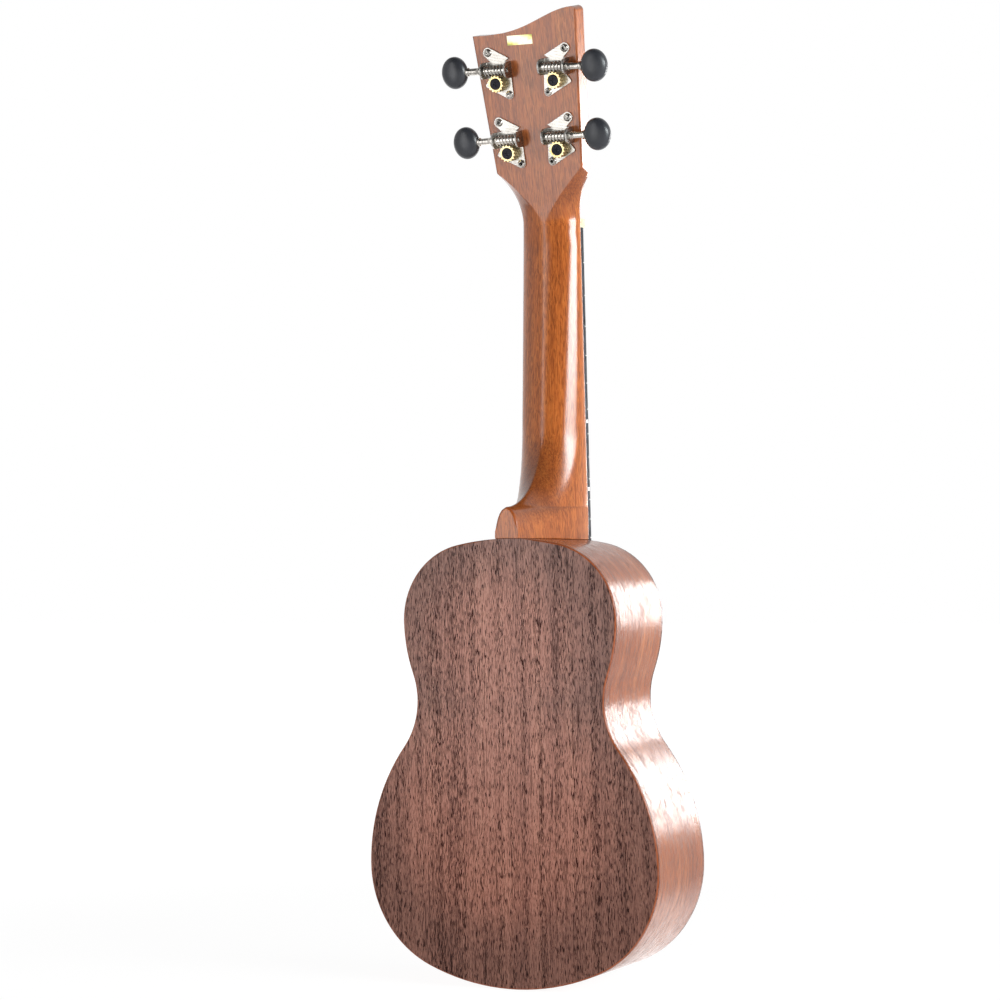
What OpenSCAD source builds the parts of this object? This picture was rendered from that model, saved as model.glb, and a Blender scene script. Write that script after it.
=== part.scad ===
// Soprano ukulele with open worm-and-gear tuners, as an assembly of separate pieces.
// Frame: +Z runs up the neck, the soundboard faces -Y and the back faces +Y.
// Origin: on the centre line, where the strings leave the nut, in the plane of the soundboard.

/* [Strings and neck] */
// Sounding length of the strings, nut to saddle
scale_length = 345; // [340:0.5:350]
// Width of the neck at the nut
nut_w = 34.2; // [33:0.1:36]
// Width of the fretboard at the twelfth fret
joint_w = 39; // [38:0.1:42]
// Thickness of the fretboard
fretboard_t = 4; // [3.5:0.1:4.5]
// Depth of the neck behind the fretboard at the nut
neck_d_nut = 10.5; // [10:0.1:12]
// Depth of the neck behind the fretboard above the heel
neck_d_heel = 17; // [15:0.5:19]
// Thickness of the nut along the strings
nut_t = 5; // [4:0.5:6]
// Width of the flat heel face against the body
heel_w = 14.2; // [12:0.2:18]
// Height of the flat heel face above the body
heel_h = 17; // [14:0.5:20]
// Spacing of the outer strings at the nut
nut_spacing = 27.6; // [26:0.2:29]
// Spacing of the outer strings at the saddle
saddle_spacing = 40.5; // [39:0.5:42]

/* [Body] */
// Length of the body
body_length = 243; // [242:0.25:245]
// Depth of the body over both plates
body_depth = 64; // [58:0.5:68]
// Width of the lower bout
lower_w = 172.4; // [171:0.2:174]
// Corner radius of the lower bout, below its widest line
lower_r = 59.8; // [58:0.2:61]
// Flank radius of the lower bout, above its widest line
lower_flank_r = 106.3; // [104:0.5:109]
// Height of the widest line of the lower bout above the tail
lower_z = 65.3; // [64:0.1:67]
// Width of the waist
waist_w = 111.8; // [110:0.2:113]
// Radius of the waist
waist_r = 42.6; // [41:0.2:44]
// Width of the upper bout
upper_w = 127.2; // [126:0.2:129]
// Flank radius of the upper bout, below its widest line
upper_flank_r = 85.4; // [84:0.2:87]
// Shoulder radius of the upper bout
upper_r = 41.6; // [40.5:0.1:42]
// Thickness of the soundboard
top_t = 2; // [1.8:0.1:2.5]
// Thickness of the back plate
back_t = 2; // [1.8:0.1:2.5]
// Thickness of the bent sides
side_t = 2; // [1.6:0.1:2.5]
// Thickness of the lining strips
lining_t = 4; // [3:0.5:5]
// Height of the lining strips
lining_h = 9; // [6:0.5:12]
// Diameter of the sound hole
hole_d = 50; // [46:1:52]
// Height of the sound hole centre above the tail
hole_z = 158; // [156:1:160]

/* [Headstock] */
// Backward tilt of the headstock
head_tilt = 13.1; // [12:0.1:15]
// Thickness of the headstock
head_t = 10.5; // [10:0.1:11]
// Width of the headstock across its lower corners
head_w_low = 52.4; // [51:0.2:54]
// Width of the headstock at its top
head_w_top = 63.2; // [62:0.2:65]
// Height of the lower corners above the nut, on the back
head_v_low = 28.9; // [28:0.1:30]
// Height of the lower corners above the nut, on the front
head_v_front = 24.8; // [24:0.1:26]
// Height of the low side of the top edge
head_v_side = 105; // [104:0.2:106]
// Height of the crest of the top edge
head_v_crest = 116.3; // [116:0.1:118]

/* [Tuners] */
// Distance of the upper tuners from the centre line
tuner_x_upper = 17.5; // [17:0.1:18]
// Distance of the lower tuners from the centre line
tuner_x_lower = 15.2; // [15:0.1:16]
// Height of the upper tuners above the nut
tuner_v_upper = 83.3; // [83:0.1:85]
// Height of the lower tuners above the nut
tuner_v_lower = 45.3; // [45:0.1:47]
// Number of gear teeth, the turns of the knob for one turn of the post
gear_teeth = 14; // [14:1:14]
// Outer diameter of the gear
gear_d = 9.4; // [9.3:0.05:9.5]
// Outer diameter of the worm
worm_d = 6.1; // [6:0.05:6.2]
// Distance between worm axis and gear axis
mesh_distance = 7.25; // [7.2:0.05:7.3]
// Height of the buttons along the headstock
button_h = 17.8; // [16:0.2:19]
// Length of the buttons along the shaft
button_l = 15.2; // [14:0.2:16]
// Thickness of the buttons
button_t = 8.6; // [7.5:0.1:10]

/* [Hidden] */
$fn = 64;
fine_fn = 180;
eps = 0.01;

// Colours as the finished pieces show them
mahogany = [0.42, 0.25, 0.19];
rim_wood = [0.62, 0.32, 0.18];
neck_wood = [0.6, 0.34, 0.2];
inner_wood = [0.75, 0.6, 0.42];
black_wood = [0.16, 0.17, 0.19];
bone = [0.93, 0.9, 0.82];
nickel = [0.78, 0.78, 0.76];
brass = [0.8, 0.66, 0.36];
black_plastic = [0.14, 0.14, 0.15];
dark_steel = [0.16, 0.16, 0.18];
nylon = [0.9, 0.9, 0.88];

// Places along the instrument
joint_z = -scale_length / 2;
tail_z = joint_z - body_length;
saddle_z = -scale_length - 1;
fretboard_end = joint_z - 3.5;
hole_pos = tail_z + hole_z;

// Body outline: tail, corner, flank, waist, flank, shoulder and top arcs, each tangent to the next
lower_c = lower_w / 2 - lower_r;
lower_flank_c = lower_w / 2 - lower_flank_r;
waist_x = waist_w / 2 + waist_r;
upper_c = upper_w / 2 - upper_r;
upper_flank_c = upper_w / 2 - upper_flank_r;
waist_z = lower_z + sqrt(pow(lower_flank_r + waist_r, 2) - pow(waist_x - lower_flank_c, 2));
upper_z = waist_z + sqrt(pow(upper_flank_r + waist_r, 2) - pow(waist_x - upper_flank_c, 2));
tail_r = (pow(lower_c, 2) + pow(lower_z, 2) - pow(lower_r, 2)) / (2 * (lower_z - lower_r));
top_rise = body_length - upper_z;
top_r = (pow(upper_c, 2) + pow(top_rise, 2) - pow(upper_r, 2)) / (2 * (top_rise - upper_r));
tail_angle = atan2(lower_z - tail_r, lower_c);
low_angle = atan2(waist_z - lower_z, waist_x - lower_flank_c);
high_angle = atan2(upper_z - waist_z, upper_flank_c - waist_x);
top_angle = atan2(upper_z - (body_length - top_r), upper_c);
inner = side_t + lining_t;

// Solid between two depths, from a drawing in the X-Z plane
module slab(y0, y1) {
    translate([0, y1, 0])
        rotate([90, 0, 0])
            linear_extrude(y1 - y0)
                children();
}

// Level strip of the body drawing, between two heights above the tail
module level(z0, z1) {
    translate([-lower_w, z0])
        square([2 * lower_w, z1 - z0]);
}

// A circle on each side of the centre line
module circle_pair(x, z, r) {
    for (side = [-1, 1])
        translate([side * x, z])
            circle(r, $fn = fine_fn);
}

// Round shoulders: a circle on each side and the space between them
module shoulder_pair(x, z, r) {
    circle_pair(x, z, r);
    translate([-x, z - r])
        square([2 * x, 2 * r]);
}

// Long flanks: the space that a circle from each side shares
module flank_pair(x, z, r) {
    intersection() {
        translate([x, z])
            circle(r, $fn = fine_fn);
        translate([-x, z])
            circle(r, $fn = fine_fn);
    }
}

// Point of an arc of the outline, on one side of the centre line
function arc_point(side, x, z, r, a) = [side * (x + r * cos(a)), z + r * sin(a)];

// Corners of the outline where one arc passes into the next, from tail to top
function outline_joints(side, w) = [arc_point(side, 0, tail_r, tail_r - w, tail_angle),
    arc_point(side, lower_c, lower_z, lower_r - w, 0),
    arc_point(side, lower_flank_c, lower_z, lower_flank_r - w, low_angle),
    arc_point(side, upper_flank_c, upper_z, upper_flank_r - w, high_angle - 180),
    arc_point(side, upper_c, upper_z, upper_r - w, 0),
    arc_point(side, upper_c, upper_z, upper_r - w, top_angle)];

// Outline of the body drawn in by w, with the tail at the lower edge
module body_outline(w = 0) {
    right = outline_joints(1, w);
    left = outline_joints(-1, w);
    z = [for (p = right) p[1]];
    difference() {
        polygon(concat(right, [for (i = [5:-1:0]) left[i]]));
        circle_pair(waist_x, waist_z, waist_r + w);
    }
    intersection() {
        translate([0, tail_r])
            circle(tail_r - w, $fn = fine_fn);
        level(0, z[0]);
    }
    intersection() {
        shoulder_pair(lower_c, lower_z, lower_r - w);
        level(z[0], z[1]);
    }
    intersection() {
        flank_pair(lower_flank_c, lower_z, lower_flank_r - w);
        level(z[1], z[2]);
    }
    intersection() {
        flank_pair(upper_flank_c, upper_z, upper_flank_r - w);
        level(z[3], z[4]);
    }
    intersection() {
        shoulder_pair(upper_c, upper_z, upper_r - w);
        level(z[4], z[5]);
    }
    intersection() {
        translate([0, body_length - top_r])
            circle(top_r - w, $fn = fine_fn);
        level(z[5], body_length);
    }
}

// Body drawing moved to its place under the neck
module body_place() {
    translate([0, 0, tail_z])
        children();
}

module back_plate() {
    color(mahogany)
        body_place()
            slab(body_depth - back_t, body_depth)
                body_outline();
}

rosette_r_in = hole_d / 2 + 3;
rosette_r_out = rosette_r_in + 5;
rosette_t = 0.8;

module soundboard() {
    color(mahogany)
        difference() {
            body_place()
                slab(0, top_t)
                    body_outline();
            translate([0, -eps, hole_pos])
                rotate([-90, 0, 0])
                    cylinder(r = hole_d / 2, h = top_t + 2 * eps);
            rosette_ring(rosette_t);
        }
}

// Ring let into the soundboard round the sound hole
module rosette_ring(depth) {
    translate([0, 0, hole_pos])
        rotate([-90, 0, 0])
            difference() {
                cylinder(r = rosette_r_out, h = depth, $fn = fine_fn);
                translate([0, 0, -eps])
                    cylinder(r = rosette_r_in, h = depth + 2 * eps, $fn = fine_fn);
            }
}

module rosette() {
    color(bone)
        rosette_ring(rosette_t);
}

// Half of the drawing on one side of the centre line
module half_plane(side) {
    translate([side > 0 ? 0 : -lower_w, -eps])
        square([lower_w, body_length + 2 * eps]);
}

module bent_side(side) {
    color(rim_wood)
        difference() {
            body_place()
                slab(top_t, body_depth - back_t)
                    intersection() {
                        difference() {
                            body_outline();
                            body_outline(side_t);
                        }
                        half_plane(side);
                    }
            dowel_holes();
        }
}

block_w = 46;
neck_block_l = 22;
tail_block_l = 14;

// Part of the drawing taken by the two inner blocks
module block_space(grow = 0) {
    translate([-block_w / 2 - grow, body_length - neck_block_l - side_t])
        square([block_w + 2 * grow, neck_block_l + side_t]);
    translate([-block_w / 2 - grow, 0])
        square([block_w + 2 * grow, tail_block_l + side_t]);
}

// Lining strips of both sides, between the neck block and the tail block
module lining(y0, y1) {
    color(inner_wood)
        body_place()
            slab(y0, y1)
                difference() {
                    body_outline(side_t);
                    body_outline(inner);
                    block_space(0.2);
                }
}

module neck_block() {
    color(inner_wood)
        difference() {
            body_place()
                slab(top_t, body_depth - back_t)
                    intersection() {
                        body_outline(side_t);
                        translate([-block_w / 2, body_length - neck_block_l - side_t])
                            square([block_w, neck_block_l + side_t]);
                    }
            dowel_holes();
        }
}

module tail_block() {
    color(inner_wood)
        body_place()
            slab(top_t, body_depth - back_t)
                intersection() {
                    body_outline(side_t);
                    translate([-block_w / 2, 0])
                        square([block_w, tail_block_l + side_t]);
                }
}

brace_w = 6;
brace_h = 9;
brace_end_h = 3;
brace_taper = 28;

// Cross brace: full height in the middle, thinned towards its ends; dir points into the body
module cross_brace(z, y, dir, half_l) {
    color(inner_wood)
        body_place()
            translate([0, y, z - brace_w / 2])
                linear_extrude(brace_w)
                    polygon([[-half_l, 0], [half_l, 0], [half_l, dir * brace_end_h],
                        [half_l - brace_taper, dir * brace_h], [brace_taper - half_l, dir * brace_h],
                        [-half_l, dir * brace_end_h]]);
}

module bridge_patch() {
    color(inner_wood)
        translate([-42, top_t, saddle_z - 18])
            cube([84, 2, 30]);
}

dowel_r = 3.5;
dowel_y = [18, 40];
dowel_in = 15;
dowel_up = 14;

// Two dowels that pin the heel to the neck block
module dowel_pair(r, l_in, l_up) {
    for (y = dowel_y)
        translate([0, y, joint_z - l_in])
            cylinder(r = r, h = l_in + l_up);
}

module dowel_holes() {
    dowel_pair(dowel_r, dowel_in + 0.5, dowel_up + 0.5);
}

module neck_dowels() {
    color(inner_wood)
        dowel_pair(dowel_r - 0.02, dowel_in, dowel_up);
}

// Neck loft: a stack of rings from below the joint to the lower corners of the headstock.
// Each ring runs from the glue edge of the fretboard round the back of the neck to the other edge.
curve_steps = 8;
edge_h = 0.6;
ridge_half = 0.5;
edge_round = 0.9;
heel_r = body_depth - neck_d_heel;
heel_top = joint_z + heel_h + heel_r;
head_slope = (head_w_top - head_w_low) / 2 / (head_v_side - head_v_low);
flare_w = head_w_low / 2 - (head_v_low - head_v_front) * head_slope - nut_w / 2;
flare_r = (pow(head_v_front, 2) + pow(flare_w, 2)) / (2 * flare_w);

function mix(a, b, t) = a + (b - a) * t;
function bezier(p, t) = pow(1 - t, 3) * p[0] + 3 * t * pow(1 - t, 2) * p[1]
    + 3 * t * t * (1 - t) * p[2] + pow(t, 3) * p[3];

// Half width of the neck at height z
function neck_half(z) = mix(nut_w, joint_w, z / joint_z) / 2;

// One side of a ring: glue edge, short upright edge, then a curve to the half flat on the back
function ring_side(hw, edge, flat, depth, side_pull, back_pull) = concat([[hw, 0]],
    [for (i = [0:curve_steps])
        bezier([[hw, edge], [mix(hw, flat, side_pull[0]), mix(edge, depth, side_pull[1])],
            [mix(hw, flat, back_pull[0]), mix(edge, depth, back_pull[1])], [flat, depth]], i / curve_steps)]);

// Whole ring, mirrored, as points in a level plane at height z
function ring(z, side) = concat([for (p = side) [p[0], p[1], z]],
    [for (i = [len(side) - 1:-1:0]) [-side[i][0], side[i][1], z]]);

// Point of the headstock frame (x, depth, height) in the frame of the instrument
function head_point(p) = [p[0], p[1] * cos(head_tilt) + p[2] * sin(head_tilt),
    nut_t + p[2] * cos(head_tilt) - p[1] * sin(head_tilt)];

heel_side_pull = [0.12, 0.35];
heel_back_pull = [0.8, 0.62];
neck_side_pull = [0, 0.52];
neck_back_pull = [0.46, 1];
cheek_back_pull = [0.7, 0.8];
crease_v = 12;

// Wood that rounds out the hollow where the neck bends into the tilted headstock, by distance from the bend
bend_l = 14;
bend_z = nut_t - head_t * sin(head_tilt);
bend_slope = tan(head_tilt) + (neck_d_heel - neck_d_nut) / -heel_top;
function bend_fill(s) = bend_slope / (4 * bend_l) * pow(max(0, bend_l - abs(s)), 2);

// Heel rings up to the tip of its flat face, then round the concave sweep, then up the neck
function heel_ring(s) = ring(joint_z + s, ring_side(neck_half(joint_z), edge_h,
    max(ridge_half, heel_w / 2 * pow(1 - pow(max(s, 0) / heel_h, 2), 0.5)), body_depth,
    heel_side_pull, heel_back_pull));
function sweep_ring(b) = let (z = joint_z + heel_h + heel_r * (1 - cos(b)))
    ring(z, ring_side(neck_half(z), edge_h, ridge_half, body_depth - heel_r * sin(b),
        mix(heel_side_pull, neck_side_pull, sin(b)), mix(heel_back_pull, neck_back_pull, sin(b))));
function neck_ring(t) = let (z = mix(heel_top, 0, t))
    ring(z, ring_side(neck_half(z), edge_h, ridge_half,
        mix(neck_d_heel, neck_d_nut, t) + bend_fill(z - bend_z), neck_side_pull, neck_back_pull));

// Rings where the round neck opens into the flat back of the headstock: its front edges sweep out to the
// lower corners, the flat widens as a V, and the cheeks between them turn into the straight side walls
function head_half(v) = head_w_low / 2 + (v - head_v_low) * head_slope;
function flare_half(v) = v > head_v_front ? head_half(v)
    : nut_w / 2 + flare_r - sqrt(flare_r * flare_r - v * v);
function wall_share(v) = max(0, (v - head_v_front) / (head_v_low - head_v_front));
function crease(v) = min(1, v / crease_v);
function flat_half(v) = mix(ridge_half, head_w_low / 2 - edge_round, pow(v / head_v_low, 1.25));
function flare_ring(v) = [for (p = ring(v, ring_side(flare_half(v),
    mix(edge_h, head_t - edge_round, wall_share(v)), flat_half(v), head_t + bend_fill(v), neck_side_pull,
    mix(neck_back_pull, cheek_back_pull, crease(v))))) head_point(p)];

// Ring beyond the top of the headstock, where its straight sides end; the top edge is cut from it
over_v = head_v_crest + 4;
function over_ring() = [for (p = ring(over_v, ring_side(head_half(over_v), head_t - edge_round,
    head_half(over_v) - edge_round, head_t, neck_side_pull, cheek_back_pull))) head_point(p)];

heel_steps = [-4, 0, 4, 8, 11, 13.5, 15.5, heel_h];
sweep_steps = [for (b = [7.5:7.5:90]) b];
neck_steps = concat([0.25, 0.5, 0.75], [for (z = [-10.5:3.5:0]) 1 - z / heel_top]);
flare_steps = [0, 2, 4.5, 7, 9.5, 12, 15.5, 19, 22, head_v_front, 26.9, head_v_low];
neck_rings = concat([for (s = heel_steps) heel_ring(s)], [for (b = sweep_steps) sweep_ring(b)],
    [for (t = neck_steps) neck_ring(t)], [for (v = flare_steps) flare_ring(v)], [over_ring()]);

// Closed skin over a stack of rings with equal counts of points, as triangles
module skin(rings) {
    n = len(rings[0]);
    last = len(rings) - 1;
    points = [for (r = rings) for (p = r) p];
    walls = [for (k = [0:last - 1]) for (i = [0:n - 1])
        let (a = k * n + i, b = k * n + (i + 1) % n)
            each [[a, a + n, b + n], [a, b + n, b]]];
    polyhedron(points, concat(walls, [[for (i = [0:n - 1]) i]], [[for (i = [n - 1:-1:0]) last * n + i]]));
}

// Headstock frame: X as before, Y out of its back face, Z up its face
module head_place() {
    translate([0, 0, nut_t])
        rotate([-head_tilt, 0, 0])
            children();
}

// Top edge: nearly level on the low side, then a slow S up to the crest, with a rounded corner
crest_x = -head_w_top * 0.47;
rise_x = head_w_top * 0.4;
rise_power = 1.37;
low_side_rise = 1.6;
corner_r = 3;
corner_x = -head_w_top / 2 - 0.6 + corner_r;
edge_steps = 20;

module above_headstock() {
    rise = [for (k = [0:edge_steps]) let (a = 180 * pow(k / edge_steps, rise_power))
        [mix(rise_x, crest_x, k / edge_steps), mix(head_v_side, head_v_crest, (1 - cos(a)) / 2)]];
    corner = [for (a = [15:15:75])
        [corner_x - corner_r * sin(a), head_v_crest - corner_r * (1 - cos(a))]];
    polygon(concat([[head_w_top, head_v_side + low_side_rise]], rise, corner,
        [[corner_x - corner_r, head_v_crest - corner_r], [-head_w_top, head_v_crest - 2 * corner_r],
            [-head_w_top, over_v + 10], [head_w_top, over_v + 10]]));
}

module neck() {
    color(neck_wood)
        difference() {
            skin(neck_rings);
            head_place()
                slab(-1, head_t + 1)
                    above_headstock();
            translate([0, -1, tail_z + body_length - top_r])
                rotate([-90, 0, 0])
                    cylinder(r = top_r, h = body_depth + 2, $fn = fine_fn);
            dowel_holes();
            for (t = TUNERS)
                tuner_place(t) {
                    translate([0, 0, gear_v])
                        post_bore(bushing_r);
                    pilot_holes();
                }
        }
}

// Distance of a fret from the nut, and half the width of the fretboard there
function fret_pos(n) = scale_length * (1 - pow(2, -n / 12));
function between_frets(n) = -(fret_pos(n) + fret_pos(n - 1)) / 2;
fret_count = 12;
fret_w = 2.2;
fret_h = 0.9;
tang_w = 0.6;
tang_h = 1.8;
face_dot_r = 2.5;
face_dot_t = 1;
side_dot_r = 1;
side_dot_l = 1.4;
marked_frets = [5, 7, 10];
side_marked_frets = [7, 10];

module fretboard() {
    end_half = neck_half(fretboard_end);
    color(black_wood)
        difference() {
            slab(-fretboard_t, 0)
                polygon([[-nut_w / 2, 0], [nut_w / 2, 0],
                    [end_half, fretboard_end], [-end_half, fretboard_end]]);
            for (n = [1:fret_count])
                translate([-joint_w, -fretboard_t - eps, -fret_pos(n) - tang_w / 2])
                    cube([2 * joint_w, tang_h + eps, tang_w]);
            face_dot_set(eps);
            side_dot_set(0);
        }
}

module frets() {
    crown_r = (fret_w * fret_w / 4 + fret_h * fret_h) / (2 * fret_h);
    color(nickel)
        for (n = [1:fret_count])
            translate([0, -fretboard_t, -fret_pos(n)]) {
                half = neck_half(-fret_pos(n)) - 0.1;
                intersection() {
                    translate([-half, crown_r - fret_h, 0])
                        rotate([0, 90, 0])
                            cylinder(r = crown_r, h = 2 * half);
                    translate([-half, -fret_h - 1, -fret_w])
                        cube([2 * half, fret_h + 1, 2 * fret_w]);
                }
                translate([-half, -0.2, -tang_w / 2])
                    cube([2 * half, tang_h + 0.2, tang_w]);
            }
}

// Dots let into the face of the fretboard
module face_dot_set(proud) {
    for (n = marked_frets)
        translate([0, -fretboard_t - proud, between_frets(n)])
            rotate([-90, 0, 0])
                cylinder(r = face_dot_r, h = face_dot_t + proud);
}

module face_dots() {
    color(bone)
        face_dot_set(0);
}

// Dots let into the bass edge of the fretboard
module side_dot_set(inset) {
    for (n = side_marked_frets)
        translate([-neck_half(between_frets(n)) - 0.02, -fretboard_t / 2, between_frets(n)])
            rotate([0, 90, 0])
                cylinder(r = side_dot_r - inset, h = side_dot_l);
}

module side_dots() {
    color(bone)
        side_dot_set(0.01);
}

// Strings from bass to treble: place across the neck, radius, tuner side and tuner row
string_r = [0.32, 0.43, 0.38, 0.32];
string_share = [-0.5, -1 / 6, 1 / 6, 0.5];
nut_h = fretboard_t + 2.2;
nut_string_y = -fretboard_t - fret_h - 0.7;
saddle_string_y = -9.6;

module nut() {
    color(bone)
        difference() {
            translate([-nut_w / 2, -nut_h, 0])
                cube([nut_w, nut_h, nut_t]);
            for (i = [0:3])
                nut_slot(i);
        }
}

// Slot of one string: round at its foot, open to the front
module nut_slot(i) {
    r = string_r[i] + 0.06;
    translate([string_share[i] * nut_spacing, nut_string_y, -1])
        linear_extrude(nut_t + 2) {
            circle(r);
            translate([-r, -nut_h])
                square([2 * r, nut_h]);
        }
}

bridge_w = 66;
bridge_l = 22;
bridge_h = 7;
bridge_wing_h = 3.2;
bridge_wing = 8;
bridge_front = 6;
saddle_w = 54;
saddle_t = 2.8;
saddle_slot_y = -3;
trough_l = 5;
tie_hole_y = -4.2;
tie_back = saddle_z + bridge_front - bridge_l;

module bridge() {
    color(black_wood)
        difference() {
            translate([0, 0, tie_back])
                linear_extrude(bridge_l)
                    polygon([[-bridge_w / 2, 0], [-bridge_w / 2, -bridge_wing_h],
                        [bridge_wing - bridge_w / 2, -bridge_h], [bridge_w / 2 - bridge_wing, -bridge_h],
                        [bridge_w / 2, -bridge_wing_h], [bridge_w / 2, 0]]);
            translate([-saddle_w / 2, -bridge_h - 1, saddle_z - saddle_t / 2])
                cube([saddle_w, bridge_h + 1 + saddle_slot_y, saddle_t]);
            translate([-saddle_w / 2, -bridge_h - 1, saddle_z - saddle_t / 2 - 1 - trough_l])
                cube([saddle_w, bridge_h - 2, trough_l]);
            for (i = [0:3])
                translate([string_share[i] * saddle_spacing, tie_hole_y, tie_back - 1])
                    cylinder(r = string_r[i] + 0.25, h = bridge_l - bridge_front);
        }
}

module saddle() {
    crown = saddle_t / 2;
    top_y = saddle_string_y;
    color(bone)
        translate([-saddle_w / 2, 0, saddle_z])
            rotate([90, 0, 90])
                linear_extrude(saddle_w) {
                    translate([top_y + crown, 0])
                        circle(crown);
                    translate([top_y + crown, -crown])
                        square([saddle_slot_y - top_y - crown, saddle_t]);
                }
}

// Tuner table: name, side of the headstock, distance from the centre line, height above the nut, and the
// small angle by which the button end stands up, since each tuner is screwed on by hand
TUNERS = [["g", -1, tuner_x_lower, tuner_v_lower, -1.2], ["c", -1, tuner_x_upper, tuner_v_upper - 0.3, -2.8],
    ["e", 1, tuner_x_upper, tuner_v_upper + 0.4, 1.8], ["a", 1, tuner_x_lower, tuner_v_lower, 0.5]];

// Frame of one tuner: X outward, Y out of the back face of the headstock, Z up, between its two screws
module tuner_place(t) {
    head_place()
        translate([t[1] * t[2], head_t, t[3]])
            mirror([t[1] < 0 ? 1 : 0, 0, 0])
                rotate([0, -t[4], 0])
                    children();
}

// Place of a post in the headstock frame
function post_place(t) = [t[1] * (t[2] - gear_v * sin(t[4])), t[3] + gear_v * cos(t[4])];

plate_t = 1;
plate_half = 7.8;
tab = [5.6, 11.7];
upper_tab_r = 2.9;
lower_tab_r = 2.5;
tab_tip = [-6.8, 8.3];
plate_corner = [7.2, -6.2];
plate_corner_r = 1.2;
ear_t = 1;
ear_half = 4.5;
worm_n = 5.2;
worm_v = 2.05;
gear_v = worm_v - mesh_distance;
gear_gap = 0.15;
gear_h = 5.3;
running = 0.05;
journal_r = 1.5;
shaft_r = 2.1;
collar_r = 2.45;
spigot_r = 1.8;
post_r = 2.5;
post_out = 15;
bushing_r = 3.1;
screw_r = 0.95;
screw_l = 8;
screw_head_r = 2.3;
gear_bore_depth = 0.9;
gear_head_r = 3.1;
gear_screw_r = 1.2;

// Direction from the centre of a circle to the place where a straight edge touches it, on its way from a
// circle of radius r round p to one of radius s round q
function touch(p, r, q, s, side) = let (d = q - p) atan2(d[1], d[0]) + side * acos((r - s) / norm(d));
// Corner just inside a circle, so that a straight edge from there runs into the round
function around(c, r, a) = c + (r - 0.04) * [cos(a), sin(a)];

// Base plate: a band between the ears, a slanted leaf with a screw tab above and a slanted triangle below
module plate_drawing() {
    top = worm_v + ear_half;
    foot = worm_v - ear_half;
    neck_in = [-3.2, top - 0.8];
    neck_out = [3.6, top - 0.8];
    foot_in = [-plate_half + 0.2, foot + 1];
    foot_out = [5.2, foot + 0.8];
    slant = touch(-tab, lower_tab_r, plate_corner, plate_corner_r, -1);
    translate([-plate_half, foot])
        square([2 * plate_half, 2 * ear_half]);
    translate(tab)
        circle(upper_tab_r);
    polygon([neck_in, tab_tip, around(tab, upper_tab_r, touch(tab_tip, 0, tab, upper_tab_r, 1)),
        around(tab, upper_tab_r, touch(neck_out, 0, tab, upper_tab_r, -1)), neck_out]);
    translate(-tab)
        circle(lower_tab_r);
    translate(plate_corner)
        circle(plate_corner_r);
    polygon([foot_in, around(-tab, lower_tab_r, touch(foot_in, 0, -tab, lower_tab_r, -1)),
        around(-tab, lower_tab_r, slant), around(plate_corner, plate_corner_r, slant),
        around(plate_corner, plate_corner_r, touch(foot_out, 0, plate_corner, plate_corner_r, 1)), foot_out]);
}

// Bearing hole along the worm axis
module worm_bore(x, r) {
    translate([x - eps, worm_n, worm_v])
        rotate([0, 90, 0])
            cylinder(r = r, h = ear_t + 2 * eps);
}

// Base plate with an ear at each end of the worm
module tuner_plate(t) {
    color(nickel)
        tuner_place(t)
            difference() {
                union() {
                    slab(0, plate_t)
                        plate_drawing();
                    for (x = [-plate_half, plate_half - ear_t])
                        translate([x, 0, 0])
                            rotate([90, 0, 90])
                                linear_extrude(ear_t) {
                                    translate([worm_n, worm_v])
                                        circle(ear_half);
                                    translate([0.2, worm_v - ear_half])
                                        square([worm_n - 0.2, 2 * ear_half]);
                                }
                }
                worm_bore(-plate_half, journal_r + running);
                worm_bore(plate_half - ear_t, shaft_r + running);
                translate([0, -eps, gear_v])
                    rotate([-90, 0, 0])
                        cylinder(r = spigot_r + running, h = plate_t + 2 * eps);
                both_screws()
                    cylinder(r = screw_r + 0.1, h = plate_t + 2 * eps);
            }
}

// Places of the two plate screws, with Z out of the back face
module both_screws() {
    for (side = [-1, 1])
        translate([side * tab[0], -eps, side * tab[1]])
            rotate([-90, 0, 0])
                children();
}

// Pilot holes of the two plate screws in the headstock
module pilot_holes() {
    both_screws()
        translate([0, 0, -screw_l - 0.5])
            cylinder(r = screw_r + 0.02, h = screw_l + 1);
}

// Hole for the post through the headstock
module post_bore(r) {
    translate([0, 1, 0])
        rotate([90, 0, 0])
            cylinder(r = r, h = head_t + 2);
}

// Worm thread: columns of points round the core, each with the corners of the ridge once per turn.
// The ridge climbs one pitch per turn, so the last column joins the first one ridge further on.
worm_turns = 6;
worm_columns = 18;
worm_core_r = 2.25;
worm_len = 13.3;
worm_pitch = 2 * PI * (gear_d / 2 - 0.3) / gear_teeth;
ridge = [-0.26, -0.1, 0.1, 0.26];
ridge_r = [worm_core_r, worm_d / 2, worm_d / 2, worm_core_r];
worm_rows = 4 * worm_turns;
worm_mid = (worm_turns - 1 + (worm_columns - 1) / worm_columns) / 2;
// Turned so that a gap of the thread faces the gear in the middle of the worm
worm_start = 270 - 360 * (worm_mid + 0.5);

function worm_point(j, x, r) = let (a = worm_start + 360 * j / worm_columns) [x, r * cos(a), r * sin(a)];
function worm_column(j) = concat([worm_point(j, -worm_len / 2, worm_core_r)],
    [for (m = [0:worm_turns - 1]) for (k = [0:3])
        worm_point(j, worm_pitch * (m + ridge[k] + j / worm_columns - worm_mid), ridge_r[k])],
    [worm_point(j, worm_len / 2, worm_core_r)]);

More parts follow.
